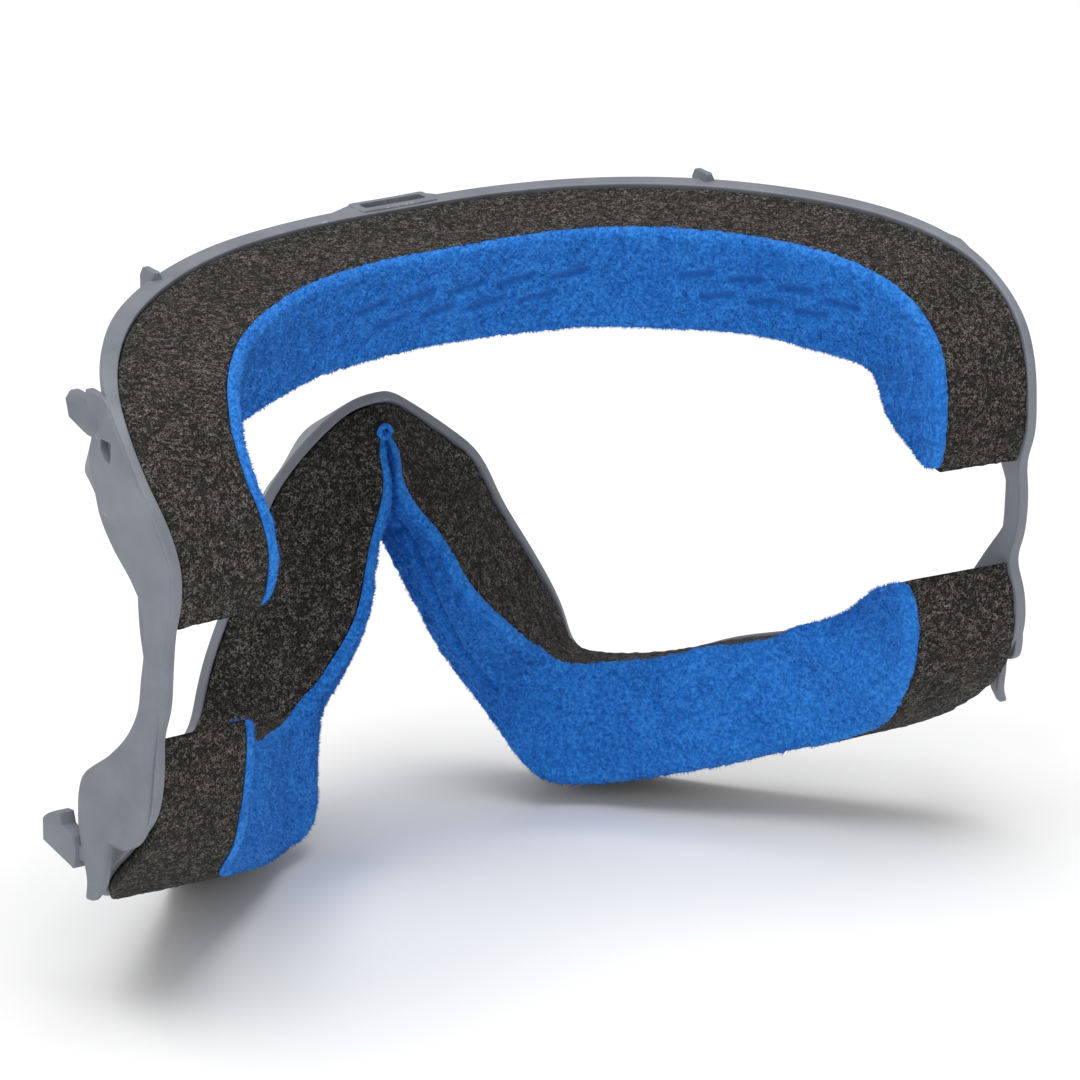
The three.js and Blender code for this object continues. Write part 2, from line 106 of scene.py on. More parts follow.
def spline(knots: Array, places: Array, closed: bool = True) -> Array:
    """Centripetal Catmull-Rom curve: a cubic between each two knots whose end slopes come
    from the neighbours, weighted by the square root of the distance between knots.

    Args:
        knots: Points of any dimension, one a row.
        places: Positions counted in knots.
        closed: Whether the last knot is followed by the first.

    Returns:
        One row for each place.
    """
    count = len(knots)
    if closed:
        low = np.floor(places).astype(int)
        rows = [knots[(low + k) % count] for k in (-1, 0, 1, 2)]
    else:
        low = np.clip(np.floor(places).astype(int), 0, count - 2)
        ends = np.vstack([2 * knots[:1] - knots[1:2], knots, 2 * knots[-1:] - knots[-2:-1]])
        rows = [ends[low + k] for k in (0, 1, 2, 3)]
    share = (places - low)[:, None]
    steps = [np.sqrt(np.linalg.norm(b - a, axis=1))[:, None] for a, b in zip(rows, rows[1:])]
    middle = np.where(steps[1] < 1e-4, 1.0, steps[1])
    before = np.where(steps[0] < 1e-4, middle, steps[0])
    after = np.where(steps[2] < 1e-4, middle, steps[2])
    p0, p1, p2, p3 = rows
    leave = ((p1 - p0) / before - (p2 - p0) / (before + middle) + (p2 - p1) / middle) * middle
    reach = ((p2 - p1) / middle - (p3 - p1) / (middle + after) + (p3 - p2) / after) * middle
    square = -3 * p1 + 3 * p2 - 2 * leave - reach
    cube = 2 * p1 - 2 * p2 + leave + reach
    return p1 + share * (leave + share * (square + share * cube))


def ripple(points: Array, length: float, seed: int, waves: int = 28) -> Array:
    """Seeded smooth unevenness between about -1 and 1: the mean of plane waves of one
    length that run in every direction.

    Args:
        points: Points in millimetres, with the coordinates last.
        length: Wavelength in millimetres.
        seed: Choice of the pattern.
        waves: Number of waves that are added.

    Returns:
        One number for each point.
    """
    random = np.random.default_rng(seed)
    headings = unit(random.normal(size=(waves, 3))) * random.uniform(0.7, 1.4, (waves, 1))
    phases = random.uniform(0, 2 * math.pi, waves)
    turns = points @ (headings.T * (2 * math.pi / length)) + phases
    return np.cos(turns).sum(axis=-1) / math.sqrt(waves)


def pinch(points: Array) -> Array:
    """Draws the two legs of the nose pad together under the bridge: sideways distances
    shrink by a bell of their own size, fully above the fork and not at all below it."""
    rise = np.clip((points[..., 2] + 16.0) / 11.0, 0, 1)
    rise = rise * rise * (3 - 2 * rise) * np.clip((points[..., 2] + 30) / 10, 0, 1)
    low = np.clip((12.0 - points[..., 2]) / 3.0, 0, 1)
    pull = 0.74 * rise * low * np.exp(-(points[..., 0] / 3.6) ** 2)
    moved = points.copy()
    moved[..., 0] = points[..., 0] * (1 - pull)
    return moved


def rounded(corners: Array, radii: Sequence[float], steps: Sequence[int],
            closed: bool = True, bend: int = 4) -> Array:
    """Outlines with rounded corners: each corner becomes a parabola that starts and ends
    `radius` away from it on its two edges, and each edge is split into even steps.

    Args:
        corners: Outlines by corner by coordinate.
        radii: Rounding of each corner in millimetres.
        steps: Parts of the edge that follows each corner.
        closed: Whether the last corner is joined to the first.
        bend: Parts of each rounded corner.

    Returns:
        Outlines by point by coordinate.
    """
    count = corners.shape[1]
    parts: list[Array] = []
    leaves: list[Array] = []
    enters: list[Array] = []
    for i in range(count):
        here = corners[:, i]
        back = corners[:, i - 1] - here
        ahead = corners[:, (i + 1) % count] - here
        reach_back = np.linalg.norm(back, axis=1, keepdims=True)
        reach_ahead = np.linalg.norm(ahead, axis=1, keepdims=True)
        radius = np.minimum(radii[i], 0.45 * np.minimum(reach_back, reach_ahead))
        if not closed and i in (0, count - 1):
            radius = np.zeros_like(radius)
        enters.append(here + back * radius / np.maximum(reach_back, 1e-9))
        leaves.append(here + ahead * radius / np.maximum(reach_ahead, 1e-9))
    for i in range(count):
        end = not closed and i in (0, count - 1)
        for share in ([0.0] if end else np.linspace(0, 1, bend + 1)):
            parts.append((1 - share) ** 2 * enters[i] + 2 * share * (1 - share) * corners[:, i]
                         + share ** 2 * leaves[i])
        if not closed and i == count - 1:
            break
        for share in np.linspace(0, 1, steps[i] + 1)[1:-1]:
            parts.append(leaves[i] * (1 - share) + enters[(i + 1) % count] * share)
    return np.stack(parts, axis=1)


def distances(lines: Array) -> Array:
    """Length from the start of each line to each of its points."""
    hops = np.linalg.norm(np.diff(lines, axis=1), axis=2)
    return np.concatenate([np.zeros((len(lines), 1)), np.cumsum(hops, axis=1)], axis=1)


def along(lines: Array, values: Array, wanted: Array) -> Array:
    """Values read at wanted lengths along lines, straight between their points.

    Args:
        lines: Lines by point by coordinate, which give the lengths.
        values: Lines by point by value.
        wanted: Lines by length in millimetres.

    Returns:
        Lines by wanted length by value.
    """
    reach = distances(lines)
    low = (reach[:, :, None] <= wanted[:, None, :]).sum(axis=1) - 1
    low = np.clip(low, 0, lines.shape[1] - 2)
    start = np.take_along_axis(reach, low, axis=1)
    span = np.maximum(np.take_along_axis(reach, low + 1, axis=1) - start, 1e-9)
    share = np.clip((wanted - start) / span, 0, 1)[..., None]
    first = np.take_along_axis(values, low[..., None], axis=1)
    second = np.take_along_axis(values, (low + 1)[..., None], axis=1)
    return first * (1 - share) + second * share


def grid_quads(rows: int, columns: int, wrap_rows: bool, wrap_columns: bool) -> Array:
    """Corner numbers of the quads of a grid of points, row by row."""
    down = np.arange(rows if wrap_rows else rows - 1)
    side = np.arange(columns if wrap_columns else columns - 1)
    i, j = np.meshgrid(down, side, indexing="ij")
    i2, j2 = (i + 1) % rows, (j + 1) % columns
    quads = np.stack([i * columns + j, i * columns + j2, i2 * columns + j2, i2 * columns + j], -1)
    return quads.reshape(-1, 4)


def enclosed(points: Array, quads: Array) -> float:
    """Six times the enclosed volume, negative when the faces point inwards."""
    a, b, c, d = (points[quads[:, k]] for k in range(4))
    return float((a * np.cross(b, c)).sum() + (a * np.cross(c, d)).sum())


def put(name: str, data: Any) -> bpy.types.Object:
    """New object with its data, linked into the scene."""
    thing = bpy.data.objects.new(name, data)
    bpy.context.scene.collection.objects.link(thing)
    return thing


def bare_mesh(name: str, points: Array, faces: Array) -> bpy.types.Mesh:
    """Mesh from drawing positions and faces that all have the same number of corners."""
    mesh = bpy.data.meshes.new(name)
    mesh.vertices.add(len(points))
    mesh.vertices.foreach_set("co", Millimetres.place(points).astype(np.float32).ravel())
    mesh.loops.add(faces.size)
    mesh.loops.foreach_set("vertex_index", faces.astype(np.int32).ravel())
    mesh.polygons.add(len(faces))
    starts = np.arange(0, faces.size, faces.shape[1], dtype=np.int32)
    mesh.polygons.foreach_set("loop_start", starts)
    mesh.update(calc_edges=True)
    return mesh


def mesh_piece(name: str, points: Array, quads: Array,
               marks: Optional[dict[str, Array]] = None) -> bpy.types.Object:
    """Closed mesh object from numpy points and quads, with its faces turned outwards.

    Args:
        name: Object name.
        points: Drawing positions in millimetres.
        quads: Corner numbers, four a row.
        marks: Float attributes by name, one value a point.

    Returns:
        The new object, with doubled points merged and smooth shading.
    """
    if enclosed(points, quads) < 0:
        quads = quads[:, ::-1]
    mesh = bare_mesh(name, points, quads)
    for label, values in (marks or {}).items():
        mark = mesh.attributes.new(label, "FLOAT", "POINT")
        mark.data.foreach_set("value", np.asarray(values, np.float32).ravel())
    piece = put(name, mesh)
    weld = piece.modifiers.new("weld", "WELD")
    weld.merge_threshold = WELD
    settle(piece)
    return piece


def settle(piece: bpy.types.Object, sharp: float = 40.0) -> None:
    """Applies a piece's modifiers and shades it smooth up to an angle in degrees."""
    graph = bpy.context.evaluated_depsgraph_get()
    finished = bpy.data.meshes.new_from_object(piece.evaluated_get(graph))
    old = piece.data
    piece.modifiers.clear()
    piece.data = finished
    finished.name = piece.name
    bpy.data.meshes.remove(old)
    finished.validate()
    finished.shade_smooth()
    finished.set_sharp_from_angle(angle=math.radians(sharp))


def join(base: bpy.types.Object, tool: bpy.types.Object, how: Joining) -> None:
    """Adds one closed solid to another or cuts it away, and removes the tool."""
    change = base.modifiers.new("join", "BOOLEAN")
    change.operation = how.value
    change.solver = "MANIFOLD"
    change.object = tool
    settle(base)
    bpy.data.objects.remove(tool, do_unlink=True)


def closed_ends(rings: Array, lead: float, inner: int = 6) -> Array:
    """Rings with rounded, closed ends: past each end the ring is drawn in by a quarter
    circle of radius `lead`, and then shrinks evenly to its middle point.

    Args:
        rings: Rings by point by coordinate.
        lead: Radius of the rounded end in millimetres.
        inner: Rings between the rounded end and the middle.

    Returns:
        The rings with the extra ones before and after.
    """
    extra: list[Array] = []
    for end, beside in ((rings[0], rings[1]), (rings[-1], rings[-2])):
        middle = end.mean(axis=0)
        heading = unit(middle - beside.mean(axis=0))
        arms = middle - end
        reach = np.linalg.norm(arms, axis=1, keepdims=True)
        added = []
        for angle in np.radians((30, 60, 90)):
            inwards = np.minimum(lead * (1 - math.cos(angle)) / np.maximum(reach, 1e-9), 0.8)
            added.append(end + arms * inwards + heading * lead * (math.sin(angle) - 1))
        last = added[-1]
        centre = last.mean(axis=0)
        added += [last + (centre - last) * share for share in np.linspace(0, 1, inner + 1)[1:]]
        extra.append(np.stack(added))
    first = rings[0] - unit(rings[0].mean(0) - rings[1].mean(0)) * lead
    final = rings[-1] - unit(rings[-1].mean(0) - rings[-2].mean(0)) * lead
    return np.concatenate([extra[0][::-1], first[None], rings[1:-1], final[None], extra[1]])


def ring_piece(name: str, rings: Array, closed: bool,
               marks: Optional[dict[str, Array]] = None) -> bpy.types.Object:
    """Skin over a row of rings, joined end to end or already closed at its poles."""
    count, around = rings.shape[:2]
    return mesh_piece(name, rings.reshape(-1, 3), grid_quads(count, around, closed, True), marks)


# ---- the line of cross-sections ------------------------------------------------------
@dataclass(frozen=True)
class Station:
    """One cross-section of the frame, given at the left half of the face.

    `at` is the corner of the pad's outer cut edge at the carrier, `face` points to the
    skin and `across` to the eye side. `crease` and `edge` are shares of width and depth.
    """

    at: Triple
    face: Triple
    across: Triple
    width: float
    deep: float = 1.0
    crease: tuple[float, float] = (0.5, 1.0)
    edge: tuple[float, float] = (0.0, 1.0)
    nap: float = 1.0
    toward: Optional[Triple] = None
    lip: float = 0.6
    skirt: float = 0.6
    ledge: float = WALL


INWARD = (-1.0, 0.08, 0.0)
BROW_LIP = {"lip": 0.7, "skirt": 2.6, "ledge": 3.6}
BROW = [
    Station((0, -45.5, 47.3), (0, 0.995, -0.09), (0, -0.42, -0.91), 22, **BROW_LIP),
    Station((18, -44.6, 47.4), (-0.12, 0.985, -0.09), (-0.02, -0.37, -0.93), 21.6, **BROW_LIP),
    Station((36, -41.2, 47), (-0.36, 0.93, -0.09), (-0.05, -0.3, -0.95), 20.3, **BROW_LIP),
    Station((52, -33.2, 46.4), (-0.57, 0.815, -0.1), (0, -0.28, -0.96), 20.2, **BROW_LIP),
    Station((65.5, -23, 45.1), (-0.74, 0.665, -0.1), (0, -0.37, -0.93), 20.5, **BROW_LIP),
    Station((75.5, -11.2, 43.5), (-0.86, 0.5, -0.1), (-0.03, -0.465, -0.885), 20.4,
            lip=0.7, skirt=2.6, ledge=3.2),
    Station((82.3, 0, 40.6), (-0.94, 0.33, -0.08), (-0.08, -0.52, -0.85), 20.6,
            lip=0.7, skirt=0.4, ledge=2.6),
    Station((85.7, 9.5, 36.5), (-0.98, 0.18, -0.06), (0, -0.7, -0.68), 20,
            deep=0.97, lip=0.5, skirt=-4),
    Station((86.6, 17.5, 30), (-0.995, 0.08, -0.02), (0, -0.84, -0.53), 20,
            deep=0.94, lip=0.5, skirt=-5),
    Station((85.5, 22.4, 23.4), (-1, 0.03, 0), (0, -0.955, -0.295), 19.4,
            deep=0.92, lip=0.5, skirt=-4.5),
    Station((84.6, 24.3, 17), (-1, 0, 0), (0, -1, -0.05), 18.4,
            deep=0.91, lip=0.5, skirt=-3.5),
    Station((84.5, 24, 11), (-1, -0.02, 0), (0, -0.98, 0.2), 16.4, deep=0.9, skirt=-2.6),
    Station((84.4, 22, 5.8), (-1, -0.03, 0.02), (0, -0.88, 0.47), 14.6, deep=0.88, skirt=-3.6),
]
STRUT = [
    Station((84.9, 21.6, -1), (-0.98, -0.21, 0), (0.21, -0.98, 0), 4.2),
    Station((84.9, 20.8, -8), (-0.98, -0.21, 0), (0.21, -0.98, 0), 4.2),
]
CHEEK = [
    Station((84.9, 18.6, -14), (-0.97, -0.21, -0.07), (-0.05, -0.9, -0.43), 11),
    Station((85.7, 19.8, -19.5), (-0.976, -0.2, 0), (-0.04, -0.95, -0.3), 18),
    Station((86.4, 19.3, -27), (-0.98, -0.18, 0.02), (-0.12, -0.98, -0.02), 20.7, lip=0.3),
    Station((87.5, 15.2, -35.2), (-0.99, -0.08, 0.03), (-0.24, -0.93, 0.25), 22.8,
            deep=1.05, lip=-2.6),
    Station((87.7, 6.4, -43.2), (-0.98, 0.14, 0.06), (-0.4, -0.75, 0.52), 24,
            deep=1.08, lip=-2.8),
    Station((84.6, -1.8, -49.2), (-0.94, 0.3, 0.14), (-0.4, -0.69, 0.6), 24,
            deep=1.04, lip=-1.6),
    Station((78, -9.6, -53), (-0.9, 0.4, 0.17), (-0.38, -0.64, 0.66), 23.8, lip=-0.8),
    Station((70, -18, -56.2), (-0.79, 0.57, 0.24), (-0.36, -0.56, 0.74), 23.4,
            deep=0.92, lip=-0.6),
    Station((60, -28, -59.9), (-0.68, 0.7, 0.24), (-0.33, -0.4, 0.86), 22.2,
            deep=0.88, lip=-0.4, skirt=-0.4),
    Station((50.5, -39, -63.8), (-0.62, 0.75, 0.25), (-0.24, -0.27, 0.93), 22,
            deep=0.91, lip=0, skirt=-0.8),
    Station((43, -48.2, -65.6), (-0.62, 0.75, 0.2), (-0.05, -0.12, 0.98), 22.4,
            deep=0.92, lip=0, skirt=-0.8),
]
NOSE = [
    Station((36, -51.4, -63), (-0.66, 0.73, 0.13), (0.08, 0.03, 0.99), 21.2,
            deep=0.9, skirt=-0.4, crease=(0.45, 1), edge=(0, 0.99), toward=(-0.7, 0.7, 0)),
    Station((33.1, -56.9, -55.4), (-0.7, 0.71, 0.06), (0.22, 0.27, 0.94), 19.4,
            deep=0.95, crease=(0.4, 1), edge=(0.02, 0.96), toward=(-0.8, 0.6, 0)),
    Station((29.4, -64.3, -44.6), (-0.68, 0.72, -0.15), (0.33, 0.66, 0.67), 18.1,
            deep=0.99, crease=(0.36, 1), edge=(0.04, 0.88), toward=(-0.9, 0.4, 0)),
    Station((23.1, -65.6, -33.2), (-0.63, 0.7, -0.32), (0.56, 0.74, 0.38), 17,
            deep=1.06, crease=(0.38, 0.99), edge=(0.06, 0.82), toward=INWARD),
    Station((18, -66.7, -22.1), (-0.67, 0.64, -0.38), (0.493, 0.765, 0.419), 16,
            deep=1.13, crease=(0.56, 0.96), edge=(0.19, 0.84), toward=INWARD),
    Station((13.9, -68.1, -9.7), (-0.685, 0.55, -0.475), (0.407, 0.828, 0.373), 15.5,
            deep=1.02, crease=(0.645, 0.99), edge=(0.12, 0.85), toward=INWARD, nap=0.7),
    Station((9.6, -68.6, -5.7), (-0.578, 0.558, -0.592), (0.304, 0.826, 0.482), 15,
            deep=0.88, crease=(0.67, 0.97), edge=(0.12, 0.88), toward=INWARD, nap=0.55),
    Station((5.9, -68.6, -0.4), (-0.39, 0.59, -0.7), (0.12, 0.86, 0.48), 14.4,
            deep=0.65, crease=(0.66, 0.97), edge=(0.14, 0.88), toward=INWARD, nap=0.55),
    Station((3.3, -67, 2.2), (-0.12, 0.6, -0.79), (0.03, 0.86, 0.5), 14,
            deep=0.38, crease=(0.66, 1), edge=(0.14, 1), toward=(-0.55, 0.1, -0.83), nap=0.55),
    Station((0, -65.4, 3.4), (0, 0.3, -0.95), (0, 0.87, 0.5), 13.6, deep=0.16, nap=0.55),
]
BROW_END = len(BROW) - 1
CHEEK_START = len(BROW) + len(STRUT)
HALF = [*BROW, *STRUT, *CHEEK, *NOSE]


@dataclass
class Sections:
    """Cross-sections at many places of the loop, each row one section."""

    at: Array
    face: Array
    across: Array
    turned: Array
    width: Array
    deep: Array
    nap: Array
    crease: Array
    edge: Array
    lip: Array
    skirt: Array
    ledge: Array

    def place(self, flat: Array) -> Array:
        """Section points `(across, out)` carried to their place on the frame."""
        return (self.at[:, None] + flat[..., :1] * self.across[:, None]
                + flat[..., 1:] * self.face[:, None])

    def outline(self, spots: Sequence[tuple[Any, Any]]) -> Array:
        """Section corners from pairs of numbers or arrays."""
        count = len(self.width)
        spread = [[np.broadcast_to(value, count) for value in spot] for spot in spots]
        return np.transpose(np.array(spread, float), (2, 0, 1))

    def skin(self) -> Array:
        """Face of the foam: eye side, bend and outer edge, as section corners."""
        top = FOAM_BASE + FOAM * self.deep
        return self.outline([
            (self.width, top),
            (self.width * self.crease[:, 0], top * self.crease[:, 1]),
            (self.width * self.edge[:, 0], top * self.edge[:, 1]),
        ])


# Columns of the loop's table that are read and changed by name
AT = slice(0, 3)
ACROSS = slice(6, 9)
WIDTH = 12


class Loop:
    """The closed line of stations round both eyes."""

    def __init__(self) -> None:
        """Mirrors the left half to the right and stacks the stations' numbers."""
        flip = np.array([-1.0, 1.0, 1.0])
        order = [(s, 1) for s in HALF] + [(s, -1) for s in HALF[1:-1][::-1]]

        def stack(read: Any, turn: bool) -> Array:
            rows = [np.array(read(s), float) for s, _ in order]
            return np.array([row * flip if turn and side < 0 else row
                             for row, (_, side) in zip(rows, order)])

        self.at = stack(lambda s: s.at, True)
        self.face = unit(stack(lambda s: s.face, True))
        self.across = unit(stack(lambda s: s.across, True))
        self.turned = unit(stack(lambda s: s.toward or s.face, True))
        self.size = stack(lambda s: (s.width, s.deep, s.nap), False)
        self.bend = stack(lambda s: (*s.crease, s.lip), False)
        self.corner = stack(lambda s: (*s.edge, s.skirt), False)
        self.shelf = stack(lambda s: (s.ledge, s.width, 0), False)
        self.count = len(order)
        self.table = self.softened()

    def softened(self) -> Array:
        """All the stations' numbers at a fine pitch, softened along the loop. The eye side
        is softened more where it turns sharply, beside the nose and at the temples."""
        places = np.arange(self.count * FINE) / FINE
        lines = (self.at, self.face, self.across, self.turned, self.size, self.bend,
                 self.corner, self.shelf)
        table = self.bell(np.concatenate([spline(line, places) for line in lines], axis=1), SOFTEN)
        start = table[:, AT]
        eye_side = start + unit(table[:, ACROSS]) * table[:, WIDTH, None]
        eased = self.bell(eye_side, EYE_SOFTEN)
        share = np.zeros(len(places))
        for middle, low, high in ((self.count / 2, 4.5, 12.5), (0.0, 4.0, 11.0)):
            away = np.abs((places - middle + self.count / 2) % self.count - self.count / 2)
            share = np.maximum(share, np.clip(np.minimum(away - low, high - away) / 1.5, 0, 1))
        arm = eye_side + (eased - eye_side) * share[:, None] - start
        table[:, ACROSS] = unit(arm)
        table[:, WIDTH] = np.linalg.norm(arm, axis=1)
        return table

    def bell(self, table: Array, spread: float) -> Array:
        """Columns averaged along the closed loop under a bell curve of `spread` stations,
        which is a product in their Fourier series."""
        waves = np.fft.rfft(table, axis=0)
        turns = np.arange(len(waves)) * 2 * math.pi / self.count
        damped = waves * np.exp(-0.5 * (turns * spread) ** 2)[:, None]
        return np.fft.irfft(damped, n=len(table), axis=0)

    def sections(self, places: Array) -> Sections:
        """Cross-sections at places counted in stations from the middle of the brow."""
        spot = np.mod(places, self.count) * FINE
        low = np.floor(spot).astype(int)
        share = (spot - low)[:, None]
        size = len(self.table)
        row = self.table[low % size] * (1 - share) + self.table[(low + 1) % size] * share
        return Sections(
            at=row[:, AT], face=unit(row[:, 3:6]), across=unit(row[:, ACROSS]),
            turned=unit(row[:, 9:12]), width=row[:, WIDTH], deep=row[:, 13], nap=row[:, 14],
            crease=row[:, 15:17], lip=row[:, 17], edge=row[:, 18:20], skirt=row[:, 20],
            ledge=row[:, 21],
        )

    def even(self, start: float, end: float, pitch: float,
             ends: Sequence[float]) -> tuple[Array, Array]:
        """Places that stand at an even pitch along the middle of the pad's face.

        Args:
            start: First place, in stations.
            end: Last place, in stations.
            pitch: Distance between places in millimetres.
            ends: Closer distances from each end in millimetres.

        Returns:
            The places, and their lengths from the start in millimetres.
        """
        dense = np.linspace(start, end, 4000)
        middle = self.sections(dense)
        line = middle.place(middle.skin())[:, 1]
        reach = distances(line[None])[0]
        inner = np.arange(1, round((reach[-1] - 2 * ends[-1]) / pitch)) * pitch + ends[-1]
        lengths = np.unique(np.concatenate([ends, inner, reach[-1] - np.array(ends)]))
        return np.interp(lengths, reach, dense), lengths


LOOP = Loop()


# ---- finishes ------------------------------------------------------------------------
def linear(colour: str) -> tuple[float, float, float, float]:
    """Linear RGBA of an sRGB hex colour: a straight toe below 0.04045, a 2.4 power above."""
    values = [int(colour[i:i + 2], 16) / 255 for i in (1, 3, 5)]
    curve = [x / 12.92 if x <= 0.04045 else ((x + 0.055) / 1.055) ** 2.4 for x in values]
    return (curve[0], curve[1], curve[2], 1.0)


def add(tree: bpy.types.NodeTree, kind: str, sockets: Optional[dict[Any, Any]] = None,
        stops: Sequence[tuple[float, str]] = (), **settings: Any) -> bpy.types.Node:
    """Adds a shader node with its settings, socket values and links.

    Args:
        tree: Node tree of the material.
        kind: Node type without its `ShaderNode` prefix.
        sockets: Input name or number to a value or to an output socket.
        stops: Positions and hex colours where the node has a colour ramp.
        settings: Node properties.

    Returns:
        The new node.
    """
    node = tree.nodes.new("ShaderNode" + kind)
    for name, value in settings.items():
        setattr(node, name, value)
    for name, value in (sockets or {}).items():
        if isinstance(value, bpy.types.NodeSocket):
            tree.links.new(value, node.inputs[name])
        else:
            node.inputs[name].default_value = value
    for i, (position, colour) in enumerate(stops):
        elements = node.color_ramp.elements
        element = elements[i] if i < len(elements) else elements.new(position)
        element.position = position
        element.color = linear(colour)
    return node


def start_material(name: str) -> tuple[bpy.types.Material, bpy.types.NodeTree, Any, Any]:
    """New node material: itself, its tree, its main shader and its object coordinates."""
    material = bpy.data.materials.new(name)
    material.use_nodes = True
    tree = material.node_tree
    shader = tree.nodes["Principled BSDF"]
    spot = add(tree, "TexCoord").outputs["Object"]
    return material, tree, shader, spot


def per_metre(size: float) -> float:
    """Texture scale that makes one cell `size` millimetres wide."""
    return 1.0 / (size * MM)


@dataclass(frozen=True)
class MouldedNylon:
    """Glass-filled nylon from a spark-eroded mould: a fine matt grain that scatters the
    highlights, and pale specks along the outer edges: a painted edge highlight that also
    stands for rubbed wear."""

    name: str = "moulded_matt_nylon"
    light: str = "#7D818B"
    dark: str = "#696D76"
    # pale colour on the outer edges: a painted edge highlight, also standing for rubbed wear
    rubbed_highlight: str = "#B4B8C0"
    grain: float = 0.35       # mould grain, drawn coarser than the real 0.1 mm so that it shows
    mottle: float = 7.0
    roughness: float = 0.5

    def build(self) -> bpy.types.Material:
        """Material with grain, faint flow mottling and a painted edge highlight of pale
        specks, also standing for rubbed wear.
        """
        material, tree, shader, spot = start_material(self.name)
        grain = add(tree, "TexNoise", {"Vector": spot, "Scale": per_metre(self.grain),
                                       "Detail": 3.0, "Roughness": 0.6})
        mottle = add(tree, "TexNoise", {"Vector": spot, "Scale": per_metre(self.mottle),
                                        "Detail": 4.0, "Roughness": 0.55})
        blend = add(tree, "Math", {0: mottle.outputs["Fac"], 1: grain.outputs["Fac"], 2: 0.0},
                    operation="MULTIPLY_ADD")
        tone = add(tree, "Math", {0: grain.outputs["Fac"], 1: 0.45, 2: mottle.outputs["Fac"]},
                   operation="MULTIPLY_ADD")
        body = add(tree, "ValToRGB", {"Fac": tone.outputs[0]},
                   stops=[(0.45, self.dark), (0.98, self.light)])
        # Pale specks on the convex edges, found from pointiness: a painted edge highlight that also
        # stands for rubbed wear.
        bend = add(tree, "NewGeometry").outputs["Pointiness"]
        edge = add(tree, "MapRange", {"Value": bend, "From Min": 0.53, "From Max": 0.62})
        speck = add(tree, "MapRange", {"Value": grain.outputs["Fac"],
                                       "From Min": 0.48, "From Max": 0.62, "To Max": 0.75})
        rub_and_highlight_mask = add(tree, "Math", {0: edge.outputs[0], 1: speck.outputs[0]}, operation="MULTIPLY")
        colour = add(tree, "Mix", {0: rub_and_highlight_mask.outputs[0], 6: body.outputs["Color"],
                                   7: linear(self.rubbed_highlight)}, data_type="RGBA")
        tree.links.new(colour.outputs[2], shader.inputs["Base Color"])
        rough = add(tree, "MapRange", {"Value": blend.outputs[0], "From Min": 0.1,
                                       "From Max": 0.45, "To Min": self.roughness - 0.06,
                                       "To Max": self.roughness + 0.1})
        tree.links.new(rough.outputs[0], shader.inputs["Roughness"])
        bump = add(tree, "Bump", {"Height": grain.outputs["Fac"], "Strength": 0.5,
                                  "Distance": 0.05 * MM})
        tree.links.new(bump.outputs["Normal"], shader.inputs["Normal"])
        shader.inputs["IOR"].default_value = 1.53
        return material


@dataclass(frozen=True)
class OpenCellFoam:
    """Die-cut open-cell polyurethane foam: cut cells that each catch the light in their
    own way, with a painted highlight on the struts and painted shade in the pores, which
    reads as a fine pepper-and-salt speckle."""

    name: str = "open_cell_foam"
    # One foam colour in light and shade: a painted highlight on the struts, painted shade in the
    # pore hollows, and the cell walls between.
    strut_highlight: str = "#7B756E"
    wall: str = "#403D3A"
    pore_shade: str = "#1C1B19"
    cell: float = 0.5
    patch: float = 5.0

    def build(self) -> bpy.types.Material:
        """Material with a painted highlight on the struts, painted shade in the pores and slight
        unevenness of density.
        """
        material, tree, shader, spot = start_material(self.name)
        sway = add(tree, "TexNoise", {"Vector": spot, "Scale": per_metre(1.6), "Detail": 2.0})
        shift = add(tree, "VectorMath", {0: sway.outputs["Color"], 1: (0.0004,) * 3,
                                         2: spot}, operation="MULTIPLY_ADD")
        cells = add(tree, "TexVoronoi", {"Vector": shift.outputs[0],
                                         "Scale": per_metre(self.cell)},
                    feature="DISTANCE_TO_EDGE")
        own = add(tree, "TexVoronoi", {"Vector": shift.outputs[0],
                                       "Scale": per_metre(self.cell)}, feature="F1")
        grit = add(tree, "TexNoise", {"Vector": spot, "Scale": per_metre(self.cell * 0.8),
                                      "Detail": 2.0, "Roughness": 0.7})
        patches = add(tree, "TexNoise", {"Vector": spot, "Scale": per_metre(self.patch),
                                         "Detail": 3.0})
        depth = add(tree, "Math", {0: grit.outputs["Fac"], 1: -0.5, 2: cells.outputs[0]},
                    operation="MULTIPLY_ADD")
        lone = add(tree, "SeparateColor", {"Color": own.outputs["Color"]})
        mixed = add(tree, "Math", {0: lone.outputs[0], 1: 0.3, 2: depth.outputs[0]},
                    operation="MULTIPLY_ADD")
        uneven = add(tree, "Math", {0: patches.outputs["Fac"], 1: 0.15, 2: mixed.outputs[0]},
                     operation="MULTIPLY_ADD")
        spread = add(tree, "MapRange", {"Value": uneven.outputs[0], "From Min": -0.22,
                                        "From Max": 0.3})
        # Painted light and shade of the cells: pale struts at the cell edges, dark pores at the
        # cell middles.
        colour = add(tree, "ValToRGB", {"Fac": spread.outputs[0]},
                     stops=[(0.08, self.strut_highlight), (0.42, self.wall), (0.85, self.pore_shade)])
        tree.links.new(colour.outputs["Color"], shader.inputs["Base Color"])
        height = add(tree, "MapRange", {"Value": mixed.outputs[0], "From Min": -0.1,
                                        "From Max": 0.5, "To Min": 1.0, "To Max": 0.0})
        bump = add(tree, "Bump", {"Height": height.outputs[0], "Strength": 1.0,
                                  "Distance": 0.3 * MM})
        tree.links.new(bump.outputs["Normal"], shader.inputs["Normal"])
        shader.inputs["Roughness"].default_value = 0.9
        shader.inputs["IOR"].default_value = 1.45
        shader.inputs["Specular IOR Level"].default_value = 0.25
        return material


